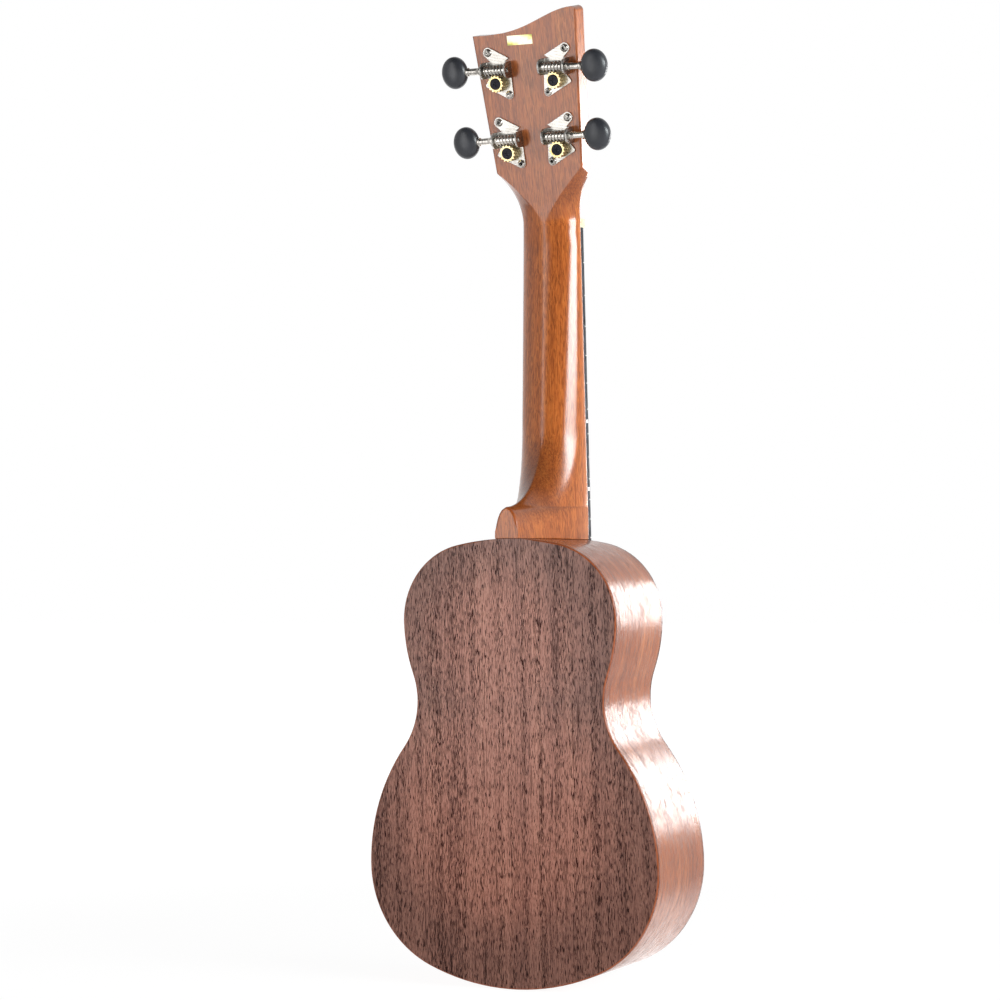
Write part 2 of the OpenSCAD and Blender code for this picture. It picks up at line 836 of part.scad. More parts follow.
module worm_thread() {
    n = worm_rows + 2;
    z = (worm_columns - 1) * n;
    points = [for (j = [0:worm_columns - 1]) each worm_column(j)];
    walls = [for (j = [0:worm_columns - 2]) for (i = [0:n - 2])
        let (a = j * n + i, b = a + n)
            each [[a, b, b + 1], [a, b + 1, a + 1]]];
    seam = [for (i = [1:worm_rows - 5])
        each [[z + i, i + 4, i + 5], [z + i, i + 5, z + i + 1]]];
    start = concat([for (e = [[0, 1], [1, 4], [4, 5], [5, z + 1]]) [z, e[0], e[1]]], [[1, 2, 3, 4]]);
    last = z + n - 1;
    finish = concat([for (e = [[n - 1, last], [last, last - 1], [last - 1, last - 4], [last - 4, last - 5]])
        [n - 2, e[0], e[1]]], [[last - 1, last - 2, last - 3, last - 4]]);
    ends = [[for (j = [worm_columns - 1:-1:0]) j * n], [for (j = [0:worm_columns - 1]) j * n + n - 1]];
    faces = concat(walls, seam, start, finish, ends);
    polyhedron(points, [for (f = faces) [for (i = [len(f) - 1:-1:0]) f[i]]]);
}

shaft_end = plate_half + 9.8;
tang_r = 1.4;
tang_l = 7;

// Worm on its shaft: journal, thread, bearing, tapered shaft, collar and the tang inside the button
module worm(t) {
    x_in = -plate_half - 0.6;
    x_bearing = worm_len / 2 - 0.2;
    color(nickel)
        tuner_place(t)
            translate([0, worm_n, worm_v]) {
                worm_thread();
                rotate([0, 90, 0])
                    rotate_extrude()
                        polygon([[0, x_in], [journal_r, x_in], [journal_r, x_bearing], [shaft_r, x_bearing],
                            [shaft_r, plate_half + 0.6], [collar_r - 0.1, plate_half + 0.9],
                            [collar_r - 0.1, plate_half + 1.8], [shaft_r, plate_half + 2.4],
                            [shaft_r - 0.2, shaft_end - 2.2], [collar_r, shaft_end - 1.6],
                            [collar_r, shaft_end], [tang_r, shaft_end], [tang_r, shaft_end + tang_l],
                            [0, shaft_end + tang_l]]);
            }
}

// Button: an oval pebble, flatter on its two broad faces, stacked from oval rings
button_rings = 10;
button_sides = 28;
button_power = 2.5;

function button_ring(k) = let (a = mix(-86, 86, k / button_rings), n = sin(a),
    s = pow(1 - pow(abs(n), button_power), 1 / button_power))
    [for (j = [0:button_sides - 1]) let (b = -360 * j / button_sides)
        [button_l / 2 * s * cos(b), button_t / 2 * n, button_h / 2 * s * sin(b)]];

module button(t) {
    color(black_plastic)
        tuner_place(t)
            difference() {
                translate([shaft_end + button_l / 2 - 0.6, worm_n, worm_v])
                    skin([for (k = [0:button_rings]) button_ring(k)]);
                translate([plate_half, worm_n, worm_v])
                    rotate([0, 90, 0]) {
                        cylinder(r = collar_r + 0.05, h = shaft_end - plate_half + eps);
                        cylinder(r = tang_r + 0.02, h = shaft_end - plate_half + tang_l + 0.2);
                    }
            }
}

gear_root_r = 4.05;
tooth_root = 0.31;
tooth_tip = 0.17;
tooth_angle = 360 / gear_teeth;

// Straight-toothed gear with a round recess for the head of its screw
module gear(t) {
    tip_r = gear_d / 2;
    root_a = tooth_angle * tooth_root;
    tip_a = tooth_angle * tooth_tip;
    color(brass)
        tuner_place(t)
            translate([0, 0, gear_v])
                difference() {
                    slab(plate_t + gear_gap, plate_t + gear_gap + gear_h)
                        polygon([for (i = [0:gear_teeth - 1]) let (a = 90 + i * tooth_angle)
                            each [gear_root_r * [cos(a - root_a), sin(a - root_a)],
                                tip_r * [cos(a - tip_a), sin(a - tip_a)],
                                tip_r * [cos(a + tip_a), sin(a + tip_a)],
                                gear_root_r * [cos(a + root_a), sin(a + root_a)]]]);
                    rotate([-90, 0, 0]) {
                        cylinder(r = spigot_r + 0.01, h = plate_t + gear_gap + gear_h + 1);
                        translate([0, 0, plate_t + gear_gap + gear_h - gear_bore_depth])
                            cylinder(r = gear_head_r + 0.1, h = gear_bore_depth + 1);
                    }
                }
}

// Cross slot in the head of a screw
module cross_slot(size, depth) {
    for (a = [0, 90])
        rotate([0, 0, a])
            translate([-size / 2, -size / 7, -depth])
                cube([size, size / 3.5, depth + 1]);
}

gear_seat = plate_t + gear_gap + gear_h - gear_bore_depth;

// Screw that holds the gear on the post
module gear_screw(t) {
    head_h = 1.2;
    color(dark_steel)
        tuner_place(t)
            translate([0, gear_seat, gear_v])
                rotate([-90, 0, 0])
                    difference() {
                        rotate_extrude()
                            polygon([[0, -5], [gear_screw_r, -5], [gear_screw_r, 0], [gear_head_r, 0],
                                [gear_head_r, head_h - 0.4], [gear_head_r - 0.5, head_h], [0, head_h]]);
                        translate([0, 0, head_h])
                            cross_slot(3, 0.8);
                    }
}

string_groove = 0.4;
groove_top = 9.6;
groove_foot = 3.4;

// Post: spigot in the gear, bearing through the headstock, string groove and domed end
module post(t) {
    spigot_end = gear_seat - 0.1;
    out = -head_t - post_out;
    color(nickel)
        tuner_place(t)
            translate([0, 0, gear_v])
                rotate([-90, 0, 0])
                    difference() {
                        rotate_extrude()
                            polygon([[0, out], [post_r - 0.6, out], [post_r, out + 0.6],
                                [post_r, -head_t - groove_top - 1],
                                [post_r - string_groove, -head_t - groove_top],
                                [post_r - string_groove, -head_t - groove_foot],
                                [post_r, -head_t - groove_foot + 1], [post_r, -0.1], [spigot_r, -0.1],
                                [spigot_r, spigot_end], [0, spigot_end]]);
                        translate([0, 0, gear_seat - 5.5])
                            cylinder(r = gear_screw_r + 0.02, h = 6);
                        translate([-post_r - 1, 0, -head_t - groove_top - 2.4])
                            rotate([0, 90, 0])
                                cylinder(r = 0.7, h = 2 * post_r + 2);
                    }
}

// Flanged sleeve pressed into the front of the headstock
module bushing(t) {
    flange_r = 4.4;
    flange_t = 1.6;
    sleeve_l = 6;
    color(nickel)
        tuner_place(t)
            translate([0, -head_t, gear_v])
                rotate([-90, 0, 0])
                    rotate_extrude()
                        polygon([[post_r + running, -flange_t - 0.5], [post_r + 0.6, -flange_t - 0.5],
                            [flange_r - 0.5, -flange_t], [flange_r, -flange_t + 0.5], [flange_r, 0],
                            [bushing_r - 0.02, 0],
                            [bushing_r - 0.02, sleeve_l], [post_r + running, sleeve_l]]);
}

module tuner_screws() {
    head_h = 1.1;
    color(nickel)
        for (t = TUNERS)
            tuner_place(t)
                both_screws()
                    translate([0, 0, plate_t + eps])
                        difference() {
                            rotate_extrude()
                                polygon([[0, -screw_l], [screw_r, -screw_l + 1.5],
                                    [screw_r, 0], [screw_head_r, 0],
                                    [screw_head_r - 0.3, head_h * 0.6],
                                    [screw_head_r - 1.1, head_h], [0, head_h]]);
                            translate([0, 0, head_h])
                                cross_slot(2, 0.7);
                        }
}

// String: knot behind the bridge, over saddle and nut, then wound down its post, as one tube
string_sides = 6;
loop_steps = 24;
wind_turns = 3;
wind_gap = 0.55;
wind_clear = 0.25;
wind_start = 9.2;
knot_r = 1.25;
knot_l = 3;
route_lead = 11;

// Place on the front of the headstock where the string leaves the nut, in the headstock frame
function nut_exit(i) = [string_share[i] * nut_spacing,
    nut_string_y * cos(head_tilt), nut_string_y * sin(head_tilt)];

// Route of one string as points with a radius each
function string_route(i) = let (t = TUNERS[i], r = string_r[i], side = t[1],
    rho = post_r + wind_clear + r, pitch = 2 * r + wind_gap,
    xs = string_share[i] * saddle_spacing, q = nut_exit(i),
    post = post_place(t), dx = q[0] - post[0], dv = q[2] - post[1],
    reach = sqrt(dx * dx + dv * dv), touch = atan2(dv, dx) - side * acos(rho / reach),
    tail = tie_back - 0.25)
    concat(
        [for (k = [0:4]) [[xs, tie_hole_y, tail - knot_l * (1 - k / 4)],
            mix(r, knot_r, [0.25, 0.85, 1, 0.85, 0][k])]],
        [[[xs, tie_hole_y, saddle_z - saddle_t / 2 - 1 - trough_l], r]],
        [for (a = [40, 20, 0]) let (crown = saddle_t / 2, over = crown + r + 0.06)
            [[xs, saddle_string_y + crown - over * cos(a), saddle_z - over * sin(a)], r]],
        [[[q[0], nut_string_y, 0.4], r], [[q[0], nut_string_y, nut_t], r]],
        [for (k = [0:loop_steps * wind_turns])
            let (a = touch - side * 360 * k / loop_steps, n = -wind_start + pitch * k / loop_steps)
                [head_point([post[0] + rho * cos(a), n, post[1] + rho * sin(a)]), r]],
        [let (a = touch - side * 360 * wind_turns, n = -wind_start + pitch * wind_turns)
            [head_point([post[0] + rho * cos(a) + side * 2 * r * sin(a), n + 0.1,
                post[1] + rho * sin(a) - side * 2 * r * cos(a)]), r]]);

function unit(v) = v / norm(v);

// Ring of points round the route, square to its direction, turned to a fixed side
function tube_ring(p, k, r) = let (
    back = unit(p[max(k, 1)] - p[max(k, 1) - 1]),
    ahead = unit(p[min(k + 1, len(p) - 1)] - p[min(k + 1, len(p) - 1) - 1]),
    d = unit(back + ahead), u = unit(cross(d, [1, 0.2, 0.1])), w = cross(d, u))
    [for (j = [0:string_sides - 1]) let (a = 360 * j / string_sides) p[k] + r * (cos(a) * u + sin(a) * w)];

// Least gap between turns of a winding, measured on its points
function least_gap(p, r) = min([for (a = [0:len(p) - 1]) for (b = [a + loop_steps / 2:1:len(p) - 1])
    norm(p[a] - p[b])]) - 2 * r;

module string(i) {
    route = string_route(i);
    points = [for (s = route) s[0]];
    wound = [for (k = [route_lead:len(points) - 1]) points[k]];
    echo(str("least gap of winding ", TUNERS[i][0]), least_gap(wound, string_r[i]));
    color(nylon)
        skin([for (k = [0:len(route) - 1]) tube_ring(points, k, route[k][1])]);
}

function tuner(name) = [for (t = TUNERS) if (t[0] == name) t][0];

back_plate();
soundboard();
rosette();
bent_side(-1);  // side_bass
bent_side(1);  // side_treble
lining(top_t, top_t + lining_h);  // top_lining
lining(body_depth - back_t - lining_h, body_depth - back_t);  // back_lining
neck_block();
tail_block();
cross_brace(192, top_t, 1, 55);  // top_brace_upper
cross_brace(122, top_t, 1, 61);  // top_brace_lower
bridge_patch();
cross_brace(180, body_depth - back_t, -1, 54);  // back_brace_upper
cross_brace(85, body_depth - back_t, -1, 76);  // back_brace_lower
neck_dowels();
neck();
fretboard();
frets();
face_dots();
side_dots();
nut();
bridge();
saddle();
string(0);  // string_g
string(1);  // string_c
string(2);  // string_e
string(3);  // string_a
tuner_plate(tuner("g"));  // tuner_plate_g
tuner_plate(tuner("c"));  // tuner_plate_c
tuner_plate(tuner("e"));  // tuner_plate_e
tuner_plate(tuner("a"));  // tuner_plate_a
worm(tuner("g"));  // worm_g
worm(tuner("c"));  // worm_c
worm(tuner("e"));  // worm_e
worm(tuner("a"));  // worm_a
button(tuner("g"));  // button_g
button(tuner("c"));  // button_c
button(tuner("e"));  // button_e
button(tuner("a"));  // button_a
gear(tuner("g"));  // gear_g
gear(tuner("c"));  // gear_c
gear(tuner("e"));  // gear_e
gear(tuner("a"));  // gear_a
gear_screw(tuner("g"));  // gear_screw_g
gear_screw(tuner("c"));  // gear_screw_c
gear_screw(tuner("e"));  // gear_screw_e
gear_screw(tuner("a"));  // gear_screw_a
post(tuner("g"));  // post_g
post(tuner("c"));  // post_c
post(tuner("e"));  // post_e
post(tuner("a"));  // post_a
bushing(tuner("g"));  // bushing_g
bushing(tuner("c"));  // bushing_c
bushing(tuner("e"));  // bushing_e
bushing(tuner("a"));  // bushing_a
tuner_screws();
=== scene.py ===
"""Dress a small wooden ukulele, seen from behind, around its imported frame.

The frame runs in metres with +Z up the neck, +Y out of the back and +X to the treble side.
"""

import logging
import math
from collections.abc import Callable, Sequence
from dataclasses import dataclass
from enum import Enum

import bmesh
import bpy
from mathutils import Matrix, Vector


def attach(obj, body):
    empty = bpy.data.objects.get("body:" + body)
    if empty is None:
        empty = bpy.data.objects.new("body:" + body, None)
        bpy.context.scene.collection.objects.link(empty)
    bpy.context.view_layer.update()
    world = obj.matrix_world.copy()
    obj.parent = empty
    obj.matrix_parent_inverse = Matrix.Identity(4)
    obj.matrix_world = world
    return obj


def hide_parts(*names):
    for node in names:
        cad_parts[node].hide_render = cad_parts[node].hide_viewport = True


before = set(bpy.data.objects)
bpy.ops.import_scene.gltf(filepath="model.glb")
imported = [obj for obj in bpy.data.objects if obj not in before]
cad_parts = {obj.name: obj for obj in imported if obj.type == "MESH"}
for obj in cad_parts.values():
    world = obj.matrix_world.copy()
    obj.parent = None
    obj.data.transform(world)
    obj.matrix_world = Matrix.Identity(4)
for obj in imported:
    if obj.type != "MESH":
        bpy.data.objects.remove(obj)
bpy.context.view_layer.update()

MERGE = 1e-6
FLAT_ANGLE = math.radians(0.4)
SHARP_ANGLE = math.radians(28)
EDGE_LAYER = "edge_wear_and_lighting"
ALONG_RIM = "along_rim"
ROOT_BODY = "instrument"
HEAD_TILT = math.radians(13.1)
HOLE_CENTRE = (0.0, -0.2575)
SCREW_ROUND = 0.00012
WHITE = (1.0, 1.0, 1.0, 1.0)

# Sockets of a Mix node set to colours: share, first colour, second colour, and the result
MIX_INPUTS = (0, 6, 7)
MIX_OUTPUT = 2
# Radians that a Wave texture runs through per unit of its scale
WAVE_RATE = 20

Colour = tuple[int, int, int]
Pair = tuple[float, float]
Triple = tuple[float, float, float]
Socket = bpy.types.NodeSocket
Shape = bmesh.types.BMesh
Edge = bmesh.types.BMEdge

log = logging.getLogger("ukulele")


def linear(colour: Colour) -> tuple[float, float, float, float]:
    """Turn a colour as the eye reads it into the shader's linear values, by the sRGB curve.

    Args:
        colour: Red, green and blue from 0 to 255.

    Returns:
        The linear colour with full alpha.
    """
    parts = []
    for part in colour:
        share = part / 255
        parts.append(share / 12.92 if share <= 0.04045 else ((share + 0.055) / 1.055) ** 2.4)
    return (*parts, 1.0)


class GrainRun(Enum):
    """Which way the fibres of a piece of wood run."""

    UP = "up the neck"
    ACROSS = "across the body"
    ROUND = "round the rim"


class Graph:
    """Places and links the nodes of one material, node group or world."""

    def __init__(self, tree: bpy.types.NodeTree) -> None:
        """Start with the tree that takes the nodes."""
        self.tree = tree

    def feed(self, socket: Socket, value: object) -> None:
        """Link a socket into another, or set its own value.

        Args:
            socket: The input that is fed.
            value: The output that is linked into it, or its own value.
        """
        if isinstance(value, Socket):
            self.tree.links.new(value, socket)
        else:
            socket.default_value = value

    def put(self, kind: str, sockets: dict[str, object] | None = None,
            **settings: object) -> bpy.types.Node:
        """Place one node.

        Args:
            kind: The node's type, without its leading ShaderNode.
            sockets: Values or links of its inputs, by name.
            settings: Its own options.

        Returns:
            The new node.
        """
        node = self.tree.nodes.new("ShaderNode" + kind)
        for name, value in settings.items():
            setattr(node, name, value)
        for name, value in (sockets or {}).items():
            self.feed(node.inputs[name], value)
        return node

    def row(self, kind: str, values: Sequence[object], **settings: object) -> bpy.types.Node:
        """Place one node and feed its inputs in order.

        Args:
            kind: The node's type, without its leading ShaderNode.
            values: Values or links of its first inputs.
            settings: Its own options.

        Returns:
            The new node.
        """
        node = self.put(kind, **settings)
        for socket, value in zip(node.inputs, values):
            self.feed(socket, value)
        return node

    def math(self, operation: str, *values: object) -> Socket:
        """Place a Math node and return its result."""
        return self.row("Math", values, operation=operation).outputs[0]

    def vector(self, operation: str, *values: object) -> Socket:
        """Place a Vector Math node and return its vector."""
        return self.row("VectorMath", values, operation=operation).outputs["Vector"]

    def measure(self, operation: str, *values: object) -> Socket:
        """Place a Vector Math node and return its number, such as a length."""
        return self.row("VectorMath", values, operation=operation).outputs["Value"]

    def split(self, vector: Socket) -> bpy.types.bpy_prop_collection:
        """Take a vector apart and return its X, Y and Z by name."""
        return self.put("SeparateXYZ", {"Vector": vector}).outputs

    def join(self, **parts: object) -> Socket:
        """Put a vector together from its X, Y and Z, each 0 if left out."""
        return self.put("CombineXYZ", parts).outputs[0]

    def mix(self, share: object, first: object, second: object, blend: str = "MIX") -> Socket:
        """Mix two colours.

        Args:
            share: How much of the second one shows, from 0 to 1.
            first: The colour below.
            second: The colour above.
            blend: The blend type.

        Returns:
            The mixed colour.
        """
        node = self.put("Mix", data_type="RGBA", blend_type=blend)
        for index, value in zip(MIX_INPUTS, (share, first, second)):
            self.feed(node.inputs[index], value)
        return node.outputs[MIX_OUTPUT]

    def noise(self, vector: Socket, scale: Sequence[float] | Socket, detail: float = 2.0) -> Socket:
        """Place a noise of the given repeats per metre along each axis.

        Args:
            vector: The coordinate in metres.
            scale: Repeats per metre.
            detail: Finer layers on top.

        Returns:
            The noise, about 0.5.
        """
        scaled = self.vector("MULTIPLY", vector, scale)
        return self.put("TexNoise", {"Vector": scaled, "Scale": 1.0, "Detail": detail}).outputs[0]

    def span(self, value: Socket, low: object, high: object, to_low: float = 0.0,
             to_high: float = 1.0) -> Socket:
        """Map a range of values smoothly onto another one.

        Args:
            value: What is mapped.
            low: Start of the range.
            high: End of the range.
            to_low: Result at the start.
            to_high: Result at the end.

        Returns:
            The mapped value.
        """
        sockets = {"Value": value, "From Min": low, "From Max": high, "To Min": to_low, "To Max": to_high}
        return self.put("MapRange", sockets, interpolation_type="SMOOTHSTEP").outputs[0]

    def ramp(self, value: Socket, places: Sequence[float], colours: Sequence[Colour]) -> Socket:
        """Turn a value into a colour.

        Args:
            value: A value from 0 to 1.
            places: Places of the ramp's stops.
            colours: Their colours.

        Returns:
            The colour.
        """
        node = self.put("ValToRGB", {"Fac": value})
        elements = node.color_ramp.elements
        while len(elements) < len(places):
            elements.new(0.5)
        for element, place, colour in zip(elements, places, colours):
            element.position = place
            element.color = linear(colour)
        return node.outputs[0]

    def bump(self, height: Socket, strength: float, depth: float) -> Socket:
        """Turn a height into a normal; depth is in metres."""
        return self.put("Bump", {"Height": height, "Strength": strength, "Distance": depth}).outputs[0]


@dataclass(frozen=True)
class Effect:
    """A shader node group that more than one material uses; its scales are repeats per metre."""

    name: str

    def tree(self) -> bpy.types.NodeTree:
        """Fetch this effect's group, and build it on first use.

        Returns:
            The group.
        """
        if self.name not in bpy.data.node_groups:
            self.build()
        return bpy.data.node_groups[self.name]

    def build(self) -> None:
        """Build the group; each effect does this in its own way."""
        raise NotImplementedError

    def start(self, inputs: Sequence[str],
              outputs: Sequence[str]) -> tuple[Graph, bpy.types.bpy_prop_collection, bpy.types.Node]:
        """Start the group.

        Args:
            inputs: Names of plain values that it takes beside the Vector.
            outputs: Names of plain values that it puts out.

        Returns:
            Its graph, its inputs by name, and the node that takes its outputs.
        """
        tree = bpy.data.node_groups.new(self.name, "ShaderNodeTree")
        tree.interface.new_socket("Vector", in_out="INPUT", socket_type="NodeSocketVector")
        for way, labels in (("INPUT", inputs), ("OUTPUT", outputs)):
            for label in labels:
                tree.interface.new_socket(label, in_out=way, socket_type="NodeSocketFloat")
        source = tree.nodes.new("NodeGroupInput")
        return Graph(tree), source.outputs, tree.nodes.new("NodeGroupOutput")


@dataclass(frozen=True)
class WoodFigure(Effect):
    """Streaks and pores of wood, with its fibres along the third axis."""

    drift: Triple = (26.0, 26.0, 13.0)
    curl: Triple = (170.0, 170.0, 85.0)
    curl_reach: float = 0.0011
    band_stretch: float = 0.045
    band_share: float = 0.34
    streaks: Triple = (1100.0, 1100.0, 24.0)
    streak_share: float = 0.36
    streak_height: float = 0.2
    flecks: Triple = (1500.0, 1500.0, 190.0)
    fleck_share: float = 0.3
    rows: Triple = (240.0, 240.0, 2.6)
    row_range: Pair = (0.33, 0.67)
    row_lift: float = 0.046
    pore_start: float = 0.67
    pore_gain: float = 0.36
    pore_edge: float = 0.035
    pore_height: float = 0.5
    seam_range: Pair = (0.31, 0.37)
    seam_depth: float = 0.65

    def build(self) -> None:
        """Build the group: Shade from dark to light streaks, Pores as a mask, Height for bump."""
        knobs = ("Wave", "Bands", "Pore Width", "Pore Length", "Pore Share", "Ripple")
        graph, source, target = self.start(knobs, ("Shade", "Pores", "Height"))
        drift = graph.math("SUBTRACT", graph.noise(source["Vector"], self.drift, 1.0), 0.5)
        curl = graph.math("SUBTRACT", graph.noise(source["Vector"], self.curl, 1.0), 0.5)
        wave = graph.math("MULTIPLY", drift, source["Wave"])
        shift = graph.math("MULTIPLY_ADD", curl, self.curl_reach, wave)
        lines = graph.vector("ADD", source["Vector"], graph.join(X=shift, Y=shift))

        wide = source["Bands"]
        tall = graph.math("MULTIPLY", wide, self.band_stretch)
        bands = graph.noise(lines, graph.join(X=wide, Y=wide, Z=tall), 3.0)
        streaks = graph.noise(lines, self.streaks, 3.0)
        flecks = graph.noise(lines, self.flecks)
        shade = graph.math("MULTIPLY", streaks, self.streak_share)
        shade = graph.math("MULTIPLY_ADD", bands, self.band_share, shade)
        shade = graph.math("MULTIPLY_ADD", flecks, self.fleck_share, shade)

        across = graph.math("DIVIDE", 1.0, source["Pore Width"])
        along = graph.math("DIVIDE", 1.0, source["Pore Length"])
        vessels = graph.noise(lines, graph.join(X=across, Y=across, Z=along), 1.0)
        rows = graph.noise(lines, self.rows)
        level = graph.math("ADD", vessels, graph.span(rows, *self.row_range, self.row_lift, -self.row_lift))
        gain = graph.math("MULTIPLY", source["Pore Share"], self.pore_gain)
        start = graph.math("SUBTRACT", self.pore_start, gain)
        dashes = graph.span(level, start, graph.math("ADD", start, self.pore_edge))
        seams = graph.span(streaks, *self.seam_range, self.seam_depth, 0.0)
        pores = graph.math("MAXIMUM", dashes, seams)

        ridges = graph.math("MULTIPLY", streaks, self.streak_height)
        ridges = graph.math("MULTIPLY_ADD", flecks, source["Ripple"], ridges)
        height = graph.math("SUBTRACT", ridges, graph.math("MULTIPLY", pores, self.pore_height))
        for label, value in (("Shade", shade), ("Pores", pores), ("Height", height)):
            graph.feed(target.inputs[label], value)


@dataclass(frozen=True)
class EdgeMask(Effect):
    """Mask along rounded edges, from the piece's own edge attribute, broken up by noise; it carries wear,
    and on the plates and the heel a painted edge highlight and painted shade.
    """

    patches: Triple = (90.0, 90.0, 90.0)
    patch_range: Pair = (0.3, 0.62)
    least: float = 0.7

    def build(self) -> None:
        """Build the group: Mask, a value from 0 to 1."""
        graph, source, target = self.start(("Amount",), ("Mask",))
        edge_wear_and_lighting = graph.put("Attribute", attribute_name=EDGE_LAYER, attribute_type="GEOMETRY").outputs["Fac"]
        patches = graph.noise(source["Vector"], self.patches, 4.0)
        patchy = graph.span(patches, *self.patch_range, self.least, 1.0)
        mask = graph.math("MULTIPLY", graph.math("MULTIPLY", edge_wear_and_lighting, patchy), source["Amount"])
        graph.feed(target.inputs["Mask"], mask)


@dataclass(frozen=True)
class Handling(Effect):
    """Dull patches that hands and cloths leave on a finish."""

    broad: Triple = (38.0, 38.0, 30.0)
    broad_share: float = 0.75
    fine: Triple = (420.0, 420.0, 420.0)
    dull_range: Pair = (0.33, 0.67)

    def build(self) -> None:
        """Build the group: Dull, a value from 0 to 1."""
        graph, source, target = self.start((), ("Dull",))
        broad = graph.noise(source["Vector"], self.broad, 3.0)
        fine = graph.math("MULTIPLY", graph.noise(source["Vector"], self.fine), 1.0 - self.broad_share)
        dull = graph.math("MULTIPLY_ADD", broad, self.broad_share, fine)
        graph.feed(target.inputs["Dull"], graph.span(dull, *self.dull_range))


WOOD_FIGURE = WoodFigure("wood_figure")
EDGE_MASK = EdgeMask("edge_mask")
HANDLING = Handling("handling")


class Canvas(Graph):
    """Graph of one new material, with its surface shader and the Object coordinate."""

    def __init__(self, name: str) -> None:
        """Start the material.

        Args:
            name: Its name.
        """
        self.material = bpy.data.materials.new(name)
        self.material.use_nodes = True
        super().__init__(self.material.node_tree)
        self.shader = self.tree.nodes["Principled BSDF"]
        self.place = self.put("TexCoord").outputs["Object"]

    def dull(self) -> Socket:
        """Place the dull patches of handling."""
        return self.put("Group", {"Vector": self.place}, node_tree=HANDLING.tree()).outputs["Dull"]

    def edge_wear_and_lighting(self, amount: float) -> Socket:
        """Place the mask along rounded edges, for wear and for painted edge light and shade."""
        knobs = {"Vector": self.place, "Amount": amount}
        return self.put("Group", knobs, node_tree=EDGE_MASK.tree()).outputs["Mask"]

    def surface(self, colour: Socket, rough: Socket, normal: Socket) -> None:
        """Feed the shader its colour, roughness and normal."""
        for label, value in (("Base Color", colour), ("Roughness", rough), ("Normal", normal)):
            self.feed(self.shader.inputs[label], value)


@dataclass(frozen=True)
class Finish:
    """What every finish shares: its name and a way to fetch its material."""

    name: str

    def material(self) -> bpy.types.Material:
        """Fetch this finish's material, and build it on first use.

        Returns:
            The material.
        """
        if self.name not in bpy.data.materials:
            self.dress(Canvas(self.name))
        return bpy.data.materials[self.name]

    def dress(self, canvas: Canvas) -> None:
        """Fill the material; each finish does this in its own way."""
        raise NotImplementedError


